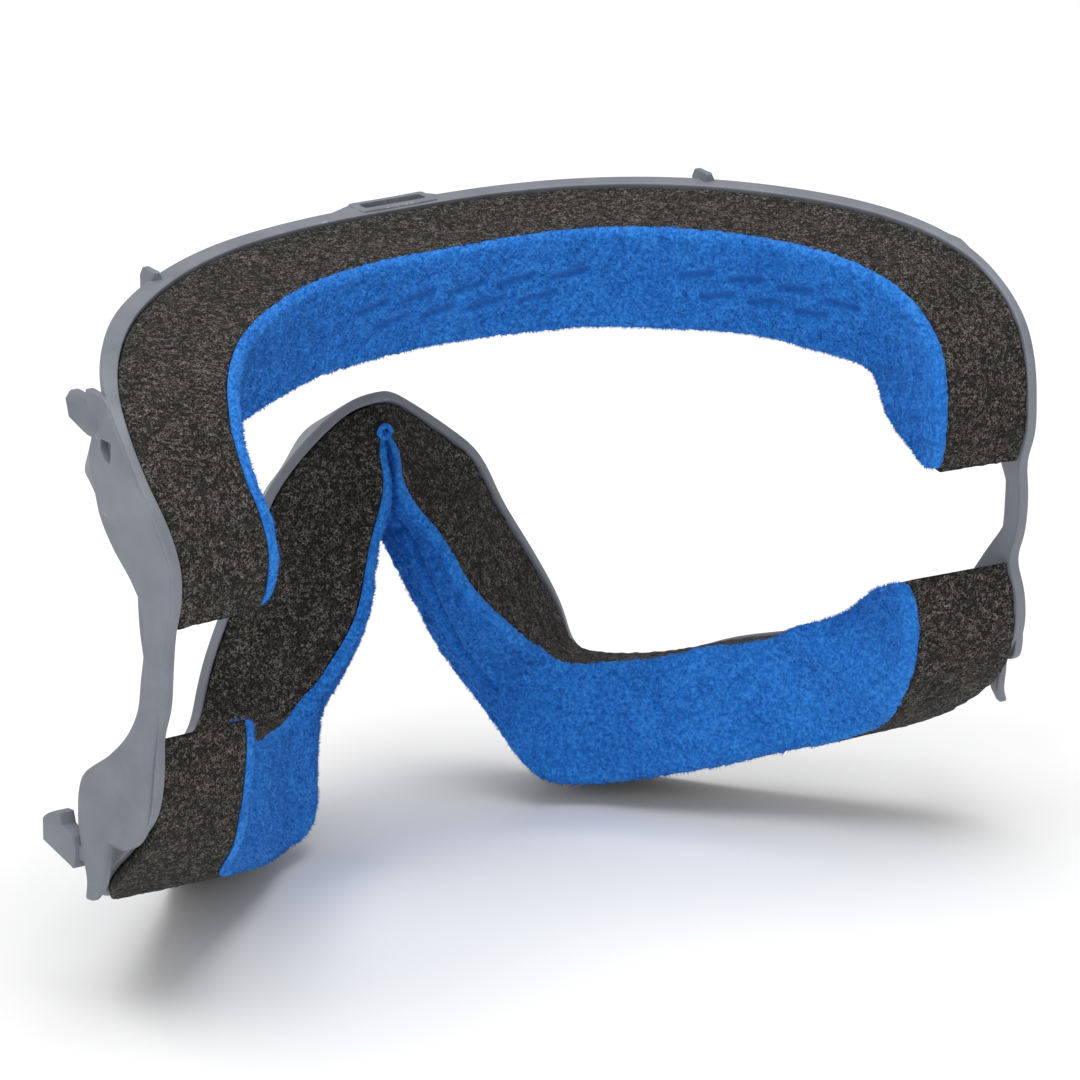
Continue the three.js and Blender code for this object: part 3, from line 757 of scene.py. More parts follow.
@dataclass(frozen=True)
class BrushedFleece:
    """Short-pile polyester fleece: fibres that lean in tufts, a soft sheen at glancing
    angles, and a darker, closed surface where it was pressed."""

    name: str = "brushed_blue_fleece"
    light: str = "#3A8FE6"
    middle: str = "#2578D2"
    dark: str = "#1D63B8"
    pressed: str = "#1C5CAE"
    fibre: float = 0.3
    tuft: float = 0.7
    patch: float = 9.0

    def build(self) -> bpy.types.Material:
        """Material with fibres, tufts, a sheen and pressed marks."""
        material, tree, shader, spot = start_material(self.name)
        fibre = add(tree, "TexNoise", {"Vector": spot, "Scale": per_metre(self.fibre),
                                       "Detail": 3.0, "Roughness": 0.7})
        tuft = add(tree, "TexNoise", {"Vector": spot, "Scale": per_metre(self.tuft),
                                      "Detail": 3.0, "Roughness": 0.6, "Distortion": 0.4})
        patch = add(tree, "TexNoise", {"Vector": spot, "Scale": per_metre(self.patch),
                                       "Detail": 2.0})
        close = add(tree, "Math", {0: fibre.outputs["Fac"], 1: 0.55, 2: tuft.outputs["Fac"]},
                    operation="MULTIPLY_ADD")
        tone = add(tree, "Math", {0: patch.outputs["Fac"], 1: 0.2, 2: close.outputs[0]},
                   operation="MULTIPLY_ADD")
        body = add(tree, "ValToRGB", {"Fac": tone.outputs[0]},
                   stops=[(0.66, self.dark), (0.86, self.middle), (1.0, self.light)])
        mark = add(tree, "Attribute", attribute_name="pressed").outputs["Fac"]
        colour = add(tree, "Mix", {0: mark, 6: body.outputs["Color"], 7: linear(self.pressed)},
                     data_type="RGBA")
        tree.links.new(colour.outputs[2], shader.inputs["Base Color"])
        bump = add(tree, "Bump", {"Height": close.outputs[0], "Strength": 0.8,
                                  "Distance": 0.3 * MM})
        tree.links.new(bump.outputs["Normal"], shader.inputs["Normal"])
        shader.inputs["Roughness"].default_value = 0.92
        shader.inputs["Specular IOR Level"].default_value = 0.2
        shader.inputs["Sheen Weight"].default_value = 0.35
        shader.inputs["Sheen Roughness"].default_value = 0.45
        shader.inputs["Sheen Tint"].default_value = linear("#7DB4FF")
        return material


@dataclass(frozen=True)
class AdhesiveFilm:
    """Acrylic transfer adhesive on a thin carrier film: pale, slightly tacky gloss with
    fine trapped-air mottling."""

    name: str = "acrylic_adhesive_film"
    light: str = "#DAD6C8"
    dark: str = "#B9B4A2"
    mottle: float = 1.2

    def build(self) -> bpy.types.Material:
        """Material with mottling and a soft gloss."""
        material, tree, shader, spot = start_material(self.name)
        mottle = add(tree, "TexNoise", {"Vector": spot, "Scale": per_metre(self.mottle),
                                        "Detail": 4.0})
        colour = add(tree, "ValToRGB", {"Fac": mottle.outputs["Fac"]},
                     stops=[(0.35, self.dark), (0.65, self.light)])
        tree.links.new(colour.outputs["Color"], shader.inputs["Base Color"])
        bump = add(tree, "Bump", {"Height": mottle.outputs["Fac"], "Strength": 0.4,
                                  "Distance": 0.05 * MM})
        tree.links.new(bump.outputs["Normal"], shader.inputs["Normal"])
        shader.inputs["Roughness"].default_value = 0.38
        shader.inputs["IOR"].default_value = 1.47
        return material


def dress(piece: bpy.types.Object, material: bpy.types.Material,
          body: Optional[str], stands_for: Sequence[str] = ()) -> None:
    """Gives a new piece its material and its body, and hides the nodes that it replaces.

    Args:
        piece: The finished piece.
        material: Its finish.
        body: Body that it rides on, or None for a piece that is left unattached.
        stands_for: Nodes that it replaces.
    """
    piece.data.materials.clear()
    piece.data.materials.append(material)
    if body:
        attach(piece, body)
    if stands_for:
        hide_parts(*stands_for)
    log.info("%s: %d faces", piece.name, len(piece.data.polygons))


# ---- carrier ---------------------------------------------------------------------------
def temple_at(heights: Array) -> Array:
    """Inside face of the left temple at each height, straight between the stations."""
    line = np.array([s.at for s in [*BROW[6:], *STRUT, *CHEEK[:5]]], float)
    order = np.argsort(line[:, 2])
    inside = np.interp(heights, line[order, 2], line[order, 0])
    inside = np.where(heights >= line[0, 2], line[0, 0] + 1.8, inside)
    return np.where(heights < line[-1, 2], line[-1, 0] + 1, inside)


@dataclass
class Carrier:
    """Moulded carrier: the wall round both eyes with its side plates, columns, stops, top
    housing, vent slot and locating tabs."""

    corner: float = 0.45           # rounding of the wall's edges
    plate_corner: float = 0.5      # rounding of the side plates' edges
    pitch: float = 0.9             # distance between the wall's sections
    slot_width: float = 12.4
    slot_depth: float = 2.6
    housing_width: float = 15.2
    housing_slope: float = 4.6
    housing_depth: float = 5.4
    housing_rise: float = 0.4
    tab_width: float = 2.2
    tab_length: float = 4.2
    tab_rise: float = 1.6
    tab_offset: float = 55.9
    tab_forward: float = 35.2      # drawing origin to the middle of a tab
    lip_height: float = 46.2       # drawing origin to the brow wall beside a tab
    room_past: float = 3.0         # cut for a pad, past its width at each side
    room_off: float = 0.05         # cut for a pad, off the wall
    room_corner: float = 0.1
    plate: list[tuple[float, float, float, float]] = field(default_factory=lambda: [
        (40.6, -4.8, 1.6, 0), (37.5, -2.6, 8, 0), (34, 0.6, 13.2, 0), (30.5, 0.4, 17, 0),
        (26, 0.8, 20.2, 0), (21, 2.6, 22.6, 0.04), (16.5, 6.4, 24.2, 0.08),
        (12, 12.2, 24, 0.12), (7.5, 15.4, 22.9, 0.16), (2, 16.2, 21.9, 0.2),
        (-4, 15.6, 21, 0.21), (-10, 14.6, 19.9, 0.21), (-15, 12, 19.1, 0.21),
        (-19, 8.6, 19.2, 0.21), (-24, 2.6, 19.2, 0.21), (-27.3, 1.7, 18.9, 0.21),
        (-31, 2.1, 17.6, 0.21), (-33, 2.5, 16.2, 0.21), (-34.3, 3, 14.2, 0.21)])
    column: list[tuple[float, float, float, float]] = field(default_factory=lambda: [
        (-31, 2.1, 12, 0.21), (-34.5, 3, 10.3, 0.21), (-38, 4, 9.6, 0.21),
        (-42, 5, 8.7, 0.21), (-44.8, 6, 7.8, 0.21)])
    stop: list[tuple[float, float, float, float]] = field(default_factory=lambda: [
        (38.9, -10.4, 0.6, 0), (37.6, -10.2, 1, 0), (35.4, -7.2, 1.8, 0), (34, -0.6, 2.5, 0)])
    hole: list[tuple[float, float, float, float]] = field(default_factory=lambda: [
        (34.6, 3.8, 7.2, 0), (33, 4.3, 7.9, 0), (31.4, 6.2, 8, 0)])

    def wall(self) -> bpy.types.Object:
        """Wall round both eyes: its stepped section carried along the whole loop."""
        places, _ = LOOP.even(0, LOOP.count, self.pitch, [0.0])
        s = LOOP.sections(places[:-1])
        step = np.maximum(0, -s.lip) + 0.8 + 0.45 * (s.ledge - WALL)
        spots = s.outline([(-s.lip, 0), (s.width + s.skirt, 0), (s.width + s.skirt, -WALL),
                           (step + 0.8, -WALL), (step, -s.ledge), (-s.lip, -s.ledge)])
        rings = s.place(rounded(spots, [self.corner] * 6, [14, 2, 12, 2, 2, 3]))
        return ring_piece("carrier", rings, True)

    def room(self, start: float, end: float) -> bpy.types.Object:
        """Space in front of the wall that a pad needs, as a tool to cut the plates with."""
        places, _ = LOOP.even(start, end, 2.0, [0.0])
        s = LOOP.sections(places)
        near, far = -self.room_past, s.width + self.room_past
        spots = s.outline([(near, self.room_off), (far, self.room_off),
                           (far, FOAM / 2), (near, FOAM / 2)])
        rings = s.place(rounded(spots, [self.room_corner] * 4, [8, 2, 8, 2]))
        return ring_piece("room", closed_ends(rings, self.room_corner, 2), False)

    def rows(self, table: Sequence[tuple[float, float, float, float]], inner: float,
             outer: float, side: Side, parts: int, smooth: bool = True,
             corner: Optional[float] = None) -> bpy.types.Object:
        """Plate from a table of height, front, back and flare: a rounded quadrilateral at
        each height, curved from row to row.

        Args:
            table: Rows from top to bottom.
            inner: Distance of its inside face from the temple.
            outer: Distance of its outside face from the temple.
            side: Side of the face.
            parts: Sections between two rows.
            smooth: Whether rows are joined by a curve or by straight lines.
            corner: Rounding of the edges, where it isn't the plate's own.

        Returns:
            The plate as a closed object.
        """
        high, near, far, flare = np.array(table, float).T
        inside = temple_at(high)
        swing = inside + flare * np.maximum(0, HINGE - near)
        hold = inside + flare * np.maximum(0, HINGE - far)
        knots = np.array([[hold + inner, far, high], [hold + outer, far, high],
                          [swing + outer, near, high], [swing + inner, near, high]])
        knots = np.transpose(knots, (2, 0, 1))
        places = np.linspace(0, len(table) - 1, parts * (len(table) - 1) + 1)
        if smooth:
            rails = np.stack([spline(knots[:, k], places, False) for k in range(4)], axis=1)
        else:
            low = np.minimum(places.astype(int), len(table) - 2)
            share = (places - low)[:, None, None]
            rails = knots[low] * (1 - share) + knots[low + 1] * share
        rings = rounded(rails, [corner or self.plate_corner] * 4, [2, 12, 2, 12])
        rings = closed_ends(rings, 0.35, 3)
        rings[..., 0] *= side.value
        return ring_piece("plate", rings, False)

    def levels(self, sizes: Sequence[tuple[float, float, float, float, float]],
               radius: float, name: str) -> bpy.types.Object:
        """Block from levels of left, right, front, back and height, rounded at its edges."""
        corners = np.array([[[a, c, z], [b, c, z], [b, d, z], [a, d, z]]
                            for a, b, c, d, z in sizes], float)
        rings = rounded(corners, [radius] * 4, [6, 3, 6, 3])
        return ring_piece(name, closed_ends(rings, 0.3, 3), False)

    def build(self, material: bpy.types.Material) -> bpy.types.Object:
        """Joins the parts of the carrier into one piece and dresses it."""
        body = self.wall()
        outside = WALL + 0.1
        for side in Side:
            plate = self.rows(self.plate, 0.25, outside, side, 7)
            join(plate, self.rows(self.hole, -1, WALL + 2, side, 4, False), Joining.CUT)
            join(plate, self.rows(self.column, 0.25, outside, side, 6), Joining.ADD)
            join(plate, self.rows(self.stop, 0.4, outside, side, 4, False, 0.25), Joining.ADD)
            join(body, plate, Joining.ADD)
        join(body, self.room(-BROW_END, BROW_END), Joining.CUT)
        join(body, self.room(CHEEK_START, LOOP.count - CHEEK_START), Joining.CUT)

        top = BROW[0].at
        roof = top[2] + BROW[0].lip + self.housing_rise
        front = top[1] - 0.2 - self.housing_depth
        back = front + self.housing_depth
        wide = self.housing_width / 2 + self.housing_slope
        narrow = self.housing_width / 2
        join(body, self.levels([(-wide, wide, front, back, roof - 3.4),
                                (-wide, wide, front, back, roof - 1.4),
                                (-narrow, narrow, front, back, roof)], 0.5, "housing"), Joining.ADD)
        middle = front + self.housing_depth / 2 - 0.1
        half, deep = self.slot_width / 2, self.slot_depth / 2
        join(body, self.levels([(-half, half, middle - deep, middle + deep, roof + 3),
                                (-half, half, middle - deep, middle + deep, roof - 2.9)],
                               0.7, "slot"), Joining.CUT)
        for side in Side:
            x = self.tab_offset * side.value
            peak = self.lip_height + BROW[0].lip + self.tab_rise
            half, deep = self.tab_width / 2, self.tab_length / 2
            y = -self.tab_forward
            join(body, self.levels([(x - half, x + half, y - deep, y + deep, peak - 4),
                                    (x - half, x + half, y - deep, y + deep, peak - 1.2),
                                    (x - half * 0.6, x + half * 0.6, y - deep, y + deep, peak)],
                                   0.35, "tab"), Joining.ADD)
        settle(body, 32)
        dress(body, material, "face_frame", ["carrier_frame"])
        return body


# ---- pads ------------------------------------------------------------------------------
@dataclass
class FoamPad:
    """Die-cut foam pad: a five-sided block with crisp cut edges, hollowed over its
    adhesive strip, and slightly uneven where the cells were cut open."""

    name: str
    node: str
    start: float
    end: float
    seed: int
    pitch: float = 0.62
    cut_corner: float = 0.7
    uneven: float = 0.11

    def build(self, material: bpy.types.Material) -> bpy.types.Object:
        """Foam pad along its part of the loop."""
        places, _ = LOOP.even(self.start, self.end, self.pitch, [0.0, 0.35])
        s = LOOP.sections(places)
        skin = s.skin()
        trim = np.clip(-s.skirt - 3.2, 0, 2) * 1.3
        back = s.outline([(s.width - trim, FOAM_SEAT), (s.width * 0.75, FOAM_SEAT),
                          (s.width * 0.73, FOAM_BASE - 0.26), (s.width * 0.12, FOAM_BASE - 0.26),
                          (s.width * 0.1, FOAM_SEAT), (0, FOAM_SEAT)])
        spots = np.concatenate([skin[:, ::-1], back], axis=1)
        radii = [self.cut_corner, 2.5, self.cut_corner, 0.5, 0.2, 0.2, 0.2, 0.2, 0.5]
        steps = [15, 15, 24, 3, 1, 3, 1, 2, 24]
        rings = closed_ends(pinch(s.place(rounded(spots, radii, steps))), 0.5, 12)
        fine, broad = ripple(rings, 1.7, self.seed), ripple(rings, 3.4, self.seed + 1)
        push = self.uneven * (fine + 0.8 * broad)
        middle = rings.mean(axis=1, keepdims=True)
        rings = rings + unit(rings - middle) * push[..., None] * 0.8
        piece = ring_piece(self.name, rings, False)
        settle(piece, 180)
        dress(piece, material, "face_frame", [self.node])
        return piece


@dataclass(frozen=True)
class Pressing:
    """One pressed channel in a lining, between two spots given as length along the lining
    from its middle and share of its height from the eye side."""

    start: tuple[float, float]
    end: tuple[float, float]


def channels(first: float, count: int, pitch: float, length: float) -> list[Pressing]:
    """Two staggered rows of short, slightly leaning level channels."""
    low = [Pressing((first + i * pitch, 0.62), (first + i * pitch + length, 0.57))
           for i in range(count)]
    high = [Pressing((first + (i + 0.5) * pitch, 0.42), (first + (i + 0.5) * pitch + length, 0.37))
            for i in range(count - 1)]
    return low + high


@dataclass
class Lining:
    """Fleece lining laid on the face of a pad: a sheet with rounded, slightly frayed
    edges, tufted pile, pressed channels and a folded crease beside the nose."""

    name: str
    node: str
    foam: str
    start: float
    end: float
    seed: int
    flat: tuple[float, float]
    area: float
    tip: float = 3.0
    pressings: list[Pressing] = field(default_factory=list)
    crease: Optional[tuple[float, float]] = None
    pitch: float = 0.5
    edge_round: float = 1.3
    press_depth: float = 0.55
    press_width: float = 0.85
    fibres: int = 49000
    fibre_length: float = 0.62
    fibre_width: float = 0.08
    fibre_root: float = 0.12       # start of a fibre below the cloth's face
    lean: float = 0.55             # how far fibres lean together in tufts
    scatter: float = 0.45          # how far each fibre leans on its own
    columns: int = 34              # places across the lining, edges left out
    tuft: float = 0.13
    fray: float = 0.16
    mark_height: float = 22.0      # height that the pressed channels are drawn over
    crease_depth: float = 1.35
    crease_width: float = 0.7
    crease_fade: float = 0.8       # stations over which the crease starts and ends

    def build(self, material: bpy.types.Material) -> bpy.types.Object:
        """Lining with its pile."""
        ends = [0.0, 0.12, 0.35, 0.7, 1.1, 1.6]
        places, lengths = LOOP.even(self.start, self.end, self.pitch, ends)
        s = LOOP.sections(places)
        skin = rounded(s.skin(), [0, 2.5, 0], [10, 10, 0], closed=False, bend=8)
        grow = s.face[:, None] * 1.0
        between = unit(s.face + s.turned)[:, None]
        outer = s.turned[:, None]
        knots = np.concatenate([grow, between, outer], axis=1)
        shares = distances(skin) / distances(skin)[:, -1:]
        bend = shares[:, skin.shape[1] // 2][:, None]
        near = np.clip(shares / bend, 0, 1)[..., None]
        far = np.clip((shares - bend) / (1 - bend), 0, 1)[..., None]
        grown = knots[:, :1] * (1 - near) + knots[:, 1:2] * (near - far) + knots[:, 2:] * far

        total = distances(skin)[:, -1:]
        to_end = np.minimum(lengths, lengths[-1] - lengths)[:, None]
        past = np.maximum(self.tip - to_end, 0)
        inset = self.tip - np.sqrt(np.maximum(self.tip ** 2 - past ** 2, 0))
        fine = np.array(ends)[None]
        run = total - 2 * inset
        inner = ends[-1] + (run - 2 * ends[-1]) * np.linspace(0, 1, self.columns)[None, 1:-1]
        spots = inset + np.concatenate([np.broadcast_to(fine, (len(s.width), len(ends))), inner,
                                        run - fine[:, ::-1]], axis=1)
        base = pinch(s.place(along(skin, skin, spots)))
        rise = unit(along(skin, grown, spots))

        to_side = np.minimum(spots - inset, total - inset - spots)
        reach = np.clip(np.minimum(to_side, to_end) / self.edge_round, 0, 1)
        profile = np.sqrt(np.maximum(1 - (1 - reach) ** 2, 0))
        tufts = (self.tuft * ripple(base, 1.5, self.seed)
                 + self.tuft * ripple(base, 3.8, self.seed + 1))
        thick = NAP_GAP - NAP_SEAT + FLEECE * s.nap[:, None] + tufts
        marks = self.marks(lengths, spots / total)
        thick = (thick - self.press_depth * marks - self.fold(places, spots, total, bend)) * profile
        fray = self.fray * ripple(base, 0.9, self.seed + 2) * (1 - reach)
        lower = base + rise * NAP_SEAT
        upper = lower + rise * thick[..., None]
        side = unit(s.across)[:, None] * np.sign(total / 2 - spots)[..., None]
        upper = pinch(upper + side * fray[..., None])
        lower = np.where((reach < 1e-6)[..., None], upper, lower)
        piece = self.sheet(upper, lower, marks)
        settle(piece, 180)
        dress(piece, material, "face_frame", [self.node])
        pile = self.pile(upper, rise, marks, material)
        return piece

    def marks(self, lengths: Array, shares: Array) -> Array:
        """How far each point is pressed: a smooth bell round each channel's line."""
        x = (lengths - lengths[-1] / 2)[:, None] + 0 * shares
        y = shares * self.mark_height
        deep = np.zeros_like(shares)
        for pressing in self.pressings:
            (x0, v0), (x1, v1) = pressing.start, pressing.end
            y0 = v0 * self.mark_height
            dx, dy = x1 - x0, (v1 - v0) * self.mark_height
            t = np.clip(((x - x0) * dx + (y - y0) * dy) / (dx * dx + dy * dy), 0, 1)
            away = np.hypot(x - x0 - t * dx, y - y0 - t * dy)
            deep = np.maximum(deep, np.exp(-(away / self.press_width) ** 4))
        return deep

    def fold(self, places: Array, spots: Array, total: Array, bend: Array) -> Array:
        """Depth of the folded crease: a narrow bell along the bend line beside the nose."""
        if self.crease is None:
            return np.zeros_like(spots)
        low, high = self.crease
        middle = (self.start + self.end) / 2
        from_middle = np.abs(places - middle)
        inside = np.minimum(from_middle - low, high - from_middle)
        share = np.clip(inside / self.crease_fade, 0, 1)[:, None]
        away = (spots - bend * total) / self.crease_width
        return self.crease_depth * share * np.exp(-away ** 2)

    def sheet(self, upper: Array, lower: Array, marks: Array) -> bpy.types.Object:
        """Closed sheet: an upper and a lower grid that share their border points."""
        rows, columns = upper.shape[:2]
        top = grid_quads(rows, columns, False, False)
        bottom = top[:, ::-1] + rows * columns
        points = np.concatenate([upper.reshape(-1, 3), lower.reshape(-1, 3)])
        pressed = np.concatenate([marks.ravel(), np.zeros(marks.size)])
        number = np.arange(2 * rows * columns)
        border = np.zeros((rows, columns), bool)
        border[[0, -1]] = True
        border[:, [0, -1]] = True
        edge = np.flatnonzero(border.ravel())
        number[edge + rows * columns] = edge
        quads = number[np.concatenate([top, bottom])]
        return mesh_piece(self.name, points, quads, {"pressed": pressed})

    def pile(self, upper: Array, rise: Array, marks: Array,
             material: bpy.types.Material) -> bpy.types.Object:
        """Short fibres on the lining: slim closed three-sided spikes that start in the
        cloth, lean in tufts and end in a point.

        Args:
            upper: Points of the cloth's upper face.
            rise: Direction of the pile at those points.
            marks: How far each point is pressed.
            material: Finish of the cloth.

        Returns:
            The pile as one object.
        """
        random = np.random.default_rng(self.seed)
        rows, columns = upper.shape[:2]
        i = random.integers(0, rows - 1, self.fibres)
        j = random.integers(0, columns - 1, self.fibres)
        u, w = random.random((2, self.fibres, 1))

        def read(values: Array) -> Array:
            corner = [values[i, j], values[i + 1, j], values[i, j + 1], values[i + 1, j + 1]]
            return (corner[0] * (1 - u) * (1 - w) + corner[1] * u * (1 - w)
                    + corner[2] * (1 - u) * w + corner[3] * u * w)

        root = read(upper)
        normal = np.cross(upper[i + 1, j] - upper[i, j], upper[i, j + 1] - upper[i, j])
        normal = unit(normal)
        facing = np.sign((normal * read(rise)).sum(axis=1, keepdims=True))
        normal = normal * np.where(facing == 0, 1, facing)
        lean = np.stack([ripple(root, 4.5, self.seed + k) for k in (5, 6, 7)], axis=1)
        heading = unit(normal + self.lean * lean
                       + self.scatter * random.normal(size=root.shape))
        length = self.fibre_length * random.uniform(0.45, 1.25, (self.fibres, 1))
        length = length * (1 - 0.75 * read(marks[..., None]))
        first = unit(np.cross(heading, random.normal(size=root.shape)))
        second = np.cross(heading, first)
        foot = root - normal * self.fibre_root
        feet = [foot + self.fibre_width * (first * math.cos(a) + second * math.sin(a))
                for a in np.radians([0, 120, 240])]
        tip = root + heading * length
        points = np.stack([*feet, tip], axis=1).reshape(-1, 3)
        start = np.arange(self.fibres)[:, None] * 4
        faces = np.concatenate([start + np.array([corners]) for corners in
                                ((0, 1, 3), (1, 2, 3), (2, 0, 3), (0, 2, 1))])
        mesh = bare_mesh(self.name + "_pile", points, faces)
        mesh.shade_smooth()
        piece = put(self.name + "_pile", mesh)
        dress(piece, material, "face_frame")
        return piece


@dataclass
class BridgeLoop:
    """Small ring of fleece at the top of the nose, where the lining was cut round a hole."""

    centre: Triple = (0.0, -51.5, 5.2)
    radius: float = 1.12
    thickness: float = 0.46
    seed: int = 71

    def build(self, material: bpy.types.Material) -> bpy.types.Object:
        """Ring that faces the wearer: a circle carried round a circle, made uneven."""
        turn = np.linspace(0, 2 * math.pi, 65)[:-1][:, None]
        round_ = np.linspace(0, 2 * math.pi, 25)[:-1][None]
        reach = self.radius + self.thickness * np.cos(round_)
        x = reach * np.cos(turn)
        z = reach * np.sin(turn)
        y = self.thickness * 1.2 * np.sin(round_) + 0 * turn
        points = np.stack([x, y, z], axis=-1) + np.array(self.centre)
        points = points + 0.1 * ripple(points, 1.1, self.seed)[..., None]
        piece = ring_piece("bridge_fleece_loop", points, True)
        dress(piece, material, "face_frame")
        return piece


# ---- latches -----------------------------------------------------------------------------
@dataclass
class Latch:
    """Sprung snap latch at a lower corner: a slim arm with a hook that turns up, and the
    thin web that it bends on."""

    side: Side
    node: str
    body: str
    length: float = 8.4
    height: float = 5.8
    thickness: float = 3.0
    hook: float = 2.1
    gap: float = 0.45
    middle: float = -37.6
    column_front: float = 4.0
    flare: float = 0.21
    bevel: float = 0.22
    web_half: float = 1.3          # half the height of the web
    web_inset: float = 0.75        # web in from each side face of the arm
    web_side: float = 92.6         # middle of the face to the web

    @property
    def root(self) -> float:
        """Front-to-back place of the arm's root."""
        return self.column_front - self.gap

    def shape(self) -> Array:
        """Side view of the arm as front-to-back and height, with a rounded hook and root."""
        tip = self.root - self.length
        top = self.middle + self.height / 2
        low = self.middle - self.height / 2
        step = top + 1.2
        start = (tip + self.length * 0.34, step + self.hook)
        pull = (tip + 0.6, top + 1 + self.hook * 0.6)
        stop = (tip, top + 1.3)
        t = np.linspace(0, 1, 7)[:, None]
        hook = (1 - t) ** 2 * start + 2 * t * (1 - t) * np.array(pull) + t ** 2 * np.array(stop)
        heel = ((1 - t) ** 2 * np.array((self.root - 0.9, low))
                + 2 * t * (1 - t) * np.array((self.root + 0.3, self.middle))
                + t ** 2 * np.array((self.root - 0.9, top)))
        flat = [(tip + self.length * 0.56, step), (tip + self.length * 0.5, step + self.hook)]
        return np.concatenate([flat, hook, [(tip, low + 3.2), (self.root - 1.4, low + 0.3)], heel])

    def carried(self, shape: Array, inner: float, outer: float, name: str) -> bpy.types.Object:
        """Side view given its thickness along the flared temple, with bevelled edges."""
        inside = float(temple_at(np.array([self.middle]))[0]) + 0.25 - (self.thickness - WALL) / 2
        rings = []
        for out in (inner, outer):
            x = inside + self.flare * (HINGE - shape[:, 0]) + out
            rings.append(np.stack([x * self.side.value, shape[:, 0], shape[:, 1]], axis=1))
        count = len(shape)
        points = np.concatenate(rings)
        mesh = bpy.data.meshes.new(name)
        faces = [list(range(count)), list(range(2 * count - 1, count - 1, -1))]
        faces += [[i, i + count, (i + 1) % count + count, (i + 1) % count] for i in range(count)]
        mesh.from_pydata(Millimetres.place(points).tolist(), [], faces)
        mesh.update()
        piece = put(name, mesh)
        self.turn_out(piece)
        edge = piece.modifiers.new("edge", "BEVEL")
        edge.width = self.bevel * MM
        edge.segments = 3
        edge.limit_method = "ANGLE"
        edge.angle_limit = math.radians(32)
        settle(piece, 40)
        return piece

    @staticmethod
    def turn_out(piece: bpy.types.Object) -> None:
        """Turns the faces outwards if the enclosed volume is negative."""
        mesh = piece.data
        mesh.calc_loop_triangles()
        corners = np.array([[mesh.vertices[k].co[:] for k in triangle.vertices]
                            for triangle in mesh.loop_triangles])
        volume = (corners[:, 0] * np.cross(corners[:, 1], corners[:, 2])).sum()
        if volume < 0:
            mesh.flip_normals()

    def build(self, material: bpy.types.Material) -> None:
        """Latch arm and its web."""
        word = self.side.name.lower()
        arm = self.carried(self.shape(), 0, self.thickness, word + "_latch")
        dress(arm, material, self.body, [self.node])
        low, high = self.middle - self.web_half, self.middle + self.web_half
        near, far = self.root - 1.6, self.column_front + 0.9
        steps = np.linspace(near, far, 9)
        web_shape = np.concatenate([np.stack([steps, np.full(9, low)], 1),
                                    np.stack([steps[::-1], np.full(9, high)], 1)])
        web = self.carried(web_shape, self.web_inset, self.thickness - self.web_inset,
                           word + "_latch_web")
        dress(web, material, None)
        x = self.web_side * self.side.value
        start = Millimetres.place(np.array([x, far - 0.5, self.middle]))
        end = Millimetres.place(np.array([x, near + 0.5, self.middle]))
        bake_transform(web)


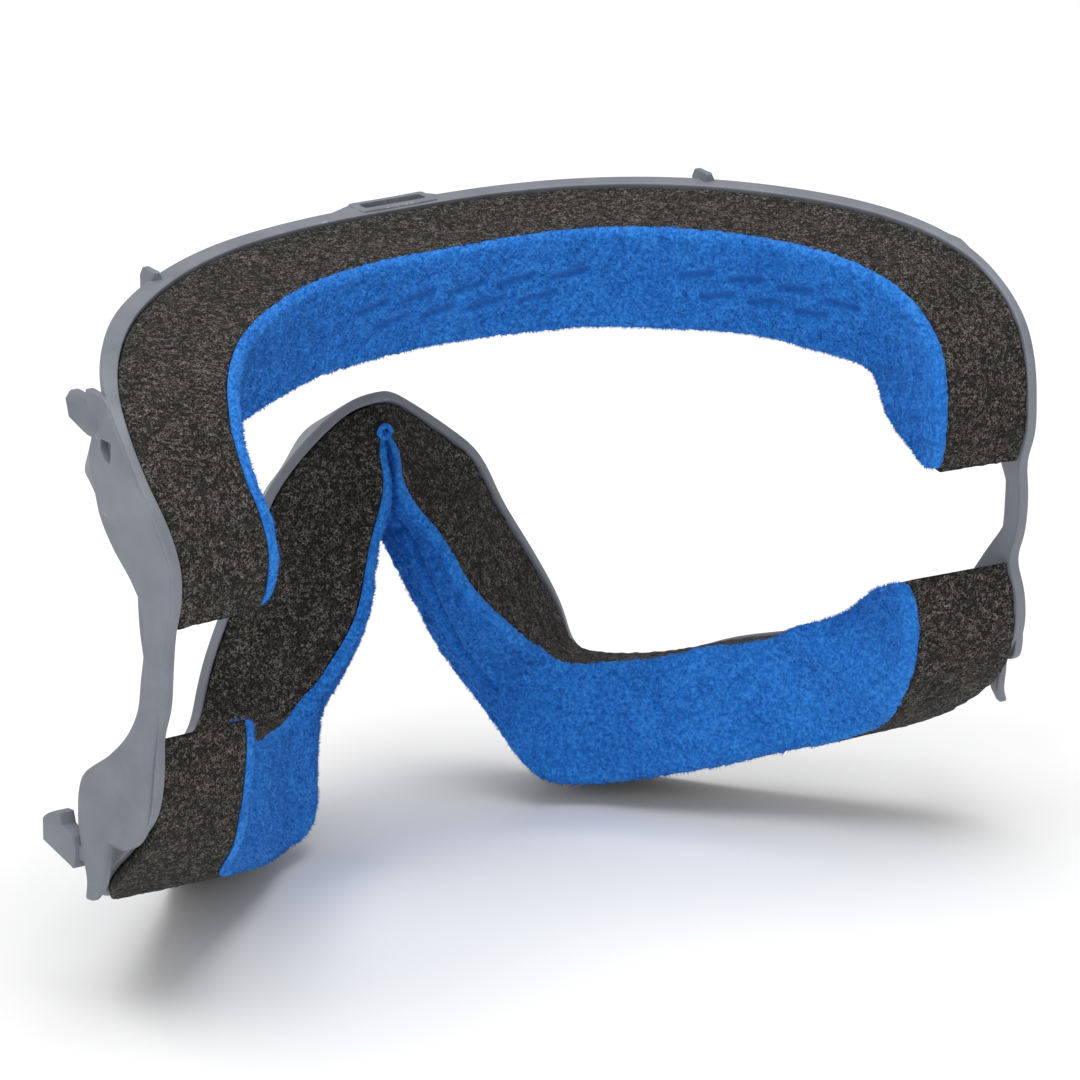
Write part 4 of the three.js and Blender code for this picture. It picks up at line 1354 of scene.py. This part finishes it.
# ---- surroundings --------------------------------------------------------------------------
@dataclass
class Studio:
    """Camera behind the wearer's left shoulder, a pale floor and broad soft lights."""

    turn: float = 32.0
    rise: float = 18.8
    distance: float = 1500.0
    lens: float = 291.5

    def camera(self) -> None:
        """Camera that looks at the drawing origin from behind and above."""
        turn, rise = math.radians(self.turn), math.radians(self.rise)
        heading = np.array([math.sin(turn) * math.cos(rise), math.cos(turn) * math.cos(rise),
                            math.sin(rise)])
        target = Vector(Millimetres.place(np.zeros(3)))
        data = bpy.data.cameras.new("camera")
        data.lens = self.lens
        data.sensor_width = 36.0
        camera = put("camera", data)
        camera.location = Vector(heading * self.distance * MM) + target
        camera.rotation_euler = (target - camera.location).to_track_quat("-Z", "Y").to_euler()
        bpy.context.scene.camera = camera

    def light(self, name: str, place: Triple, power: float, size: float, tint: str) -> None:
        """Square area light that faces the middle of the frame."""
        data = bpy.data.lights.new(name, "AREA")
        data.energy = power
        data.size = size
        data.color = linear(tint)[:3]
        lamp = put(name, data)
        lamp.location = place
        target = Vector((0, 0, 0.06))
        lamp.rotation_euler = (target - lamp.location).to_track_quat("-Z", "Y").to_euler()

    def build(self) -> None:
        """Floor, sky and lights."""
        mesh = bpy.data.meshes.new("floor")
        mesh.from_pydata([(-4, -4, 0), (4, -4, 0), (4, 4, 0), (-4, 4, 0)], [], [(0, 1, 2, 3)])
        floor = put("floor", mesh)
        material, tree, shader, spot = start_material("painted_studio_floor")
        haze = add(tree, "TexNoise", {"Vector": spot, "Scale": 3.0, "Detail": 2.0})
        colour = add(tree, "ValToRGB", {"Fac": haze.outputs["Fac"]},
                     stops=[(0.3, "#FBFBFB"), (0.7, "#FEFEFE")])
        tree.links.new(colour.outputs["Color"], shader.inputs["Base Color"])
        shader.inputs["Roughness"].default_value = 0.9
        mesh.materials.append(material)
        world = bpy.data.worlds.new("studio")
        world.use_nodes = True
        world.node_tree.nodes["Background"].inputs["Color"].default_value = (1, 1, 1, 1)
        world.node_tree.nodes["Background"].inputs["Strength"].default_value = 0.42
        bpy.context.scene.world = world
        bpy.context.scene.view_settings.view_transform = "Standard"
        self.light("overhead", (0.1, -0.1, 1.6), 24.0, 1.8, "#FFFFFF")
        self.light("camera_left", (1.3, 0.8, 0.7), 5.0, 0.8, "#FFFFFF")
        self.light("camera_right", (-0.7, 1.3, 0.6), 2.5, 0.8, "#FFFFFF")


def main() -> None:
    """Builds every piece in order."""
    logging.basicConfig(level=logging.INFO)
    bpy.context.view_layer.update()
    studio = Studio()
    studio.camera()
    plastic = MouldedNylon().build()
    foam = OpenCellFoam().build()
    fleece = BrushedFleece().build()
    film = AdhesiveFilm().build()

    Carrier().build(plastic)
    FoamPad("brow_foam", "upper_foam_pad", -BROW_END, BROW_END, 11).build(foam)
    FoamPad("cheek_foam", "lower_foam_pad", CHEEK_START, LOOP.count - CHEEK_START, 23).build(foam)
    marks = channels(-76, 4, 9.0, 5.0) + channels(-26, 5, 10.0, 6.0) + channels(84, 2, 8.0, 4.5)
    Lining("brow_lining", "upper_fleece_lining", "brow_foam", -BROW_END, BROW_END, 31,
           flat=(0.022, 0.2102), area=0.00420, tip=2.6, pressings=marks).build(fleece)
    Lining("cheek_lining", "lower_fleece_lining", "cheek_foam", CHEEK_START,
           LOOP.count - CHEEK_START, 47, flat=(0.024, 0.2915), area=0.00514, tip=3.0,
           crease=(2.2, 7.6)).build(fleece)
    BridgeLoop().build(fleece)
    for name in ("upper_adhesive_tape", "lower_adhesive_tape"):
        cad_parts[name].material_slots[0].material = film
    Latch(Side.LEFT, "left_latch_arm", "left_latch").build(plastic)
    Latch(Side.RIGHT, "right_latch_arm", "right_latch").build(plastic)
    studio.build()


if __name__ == "__main__":
    main()
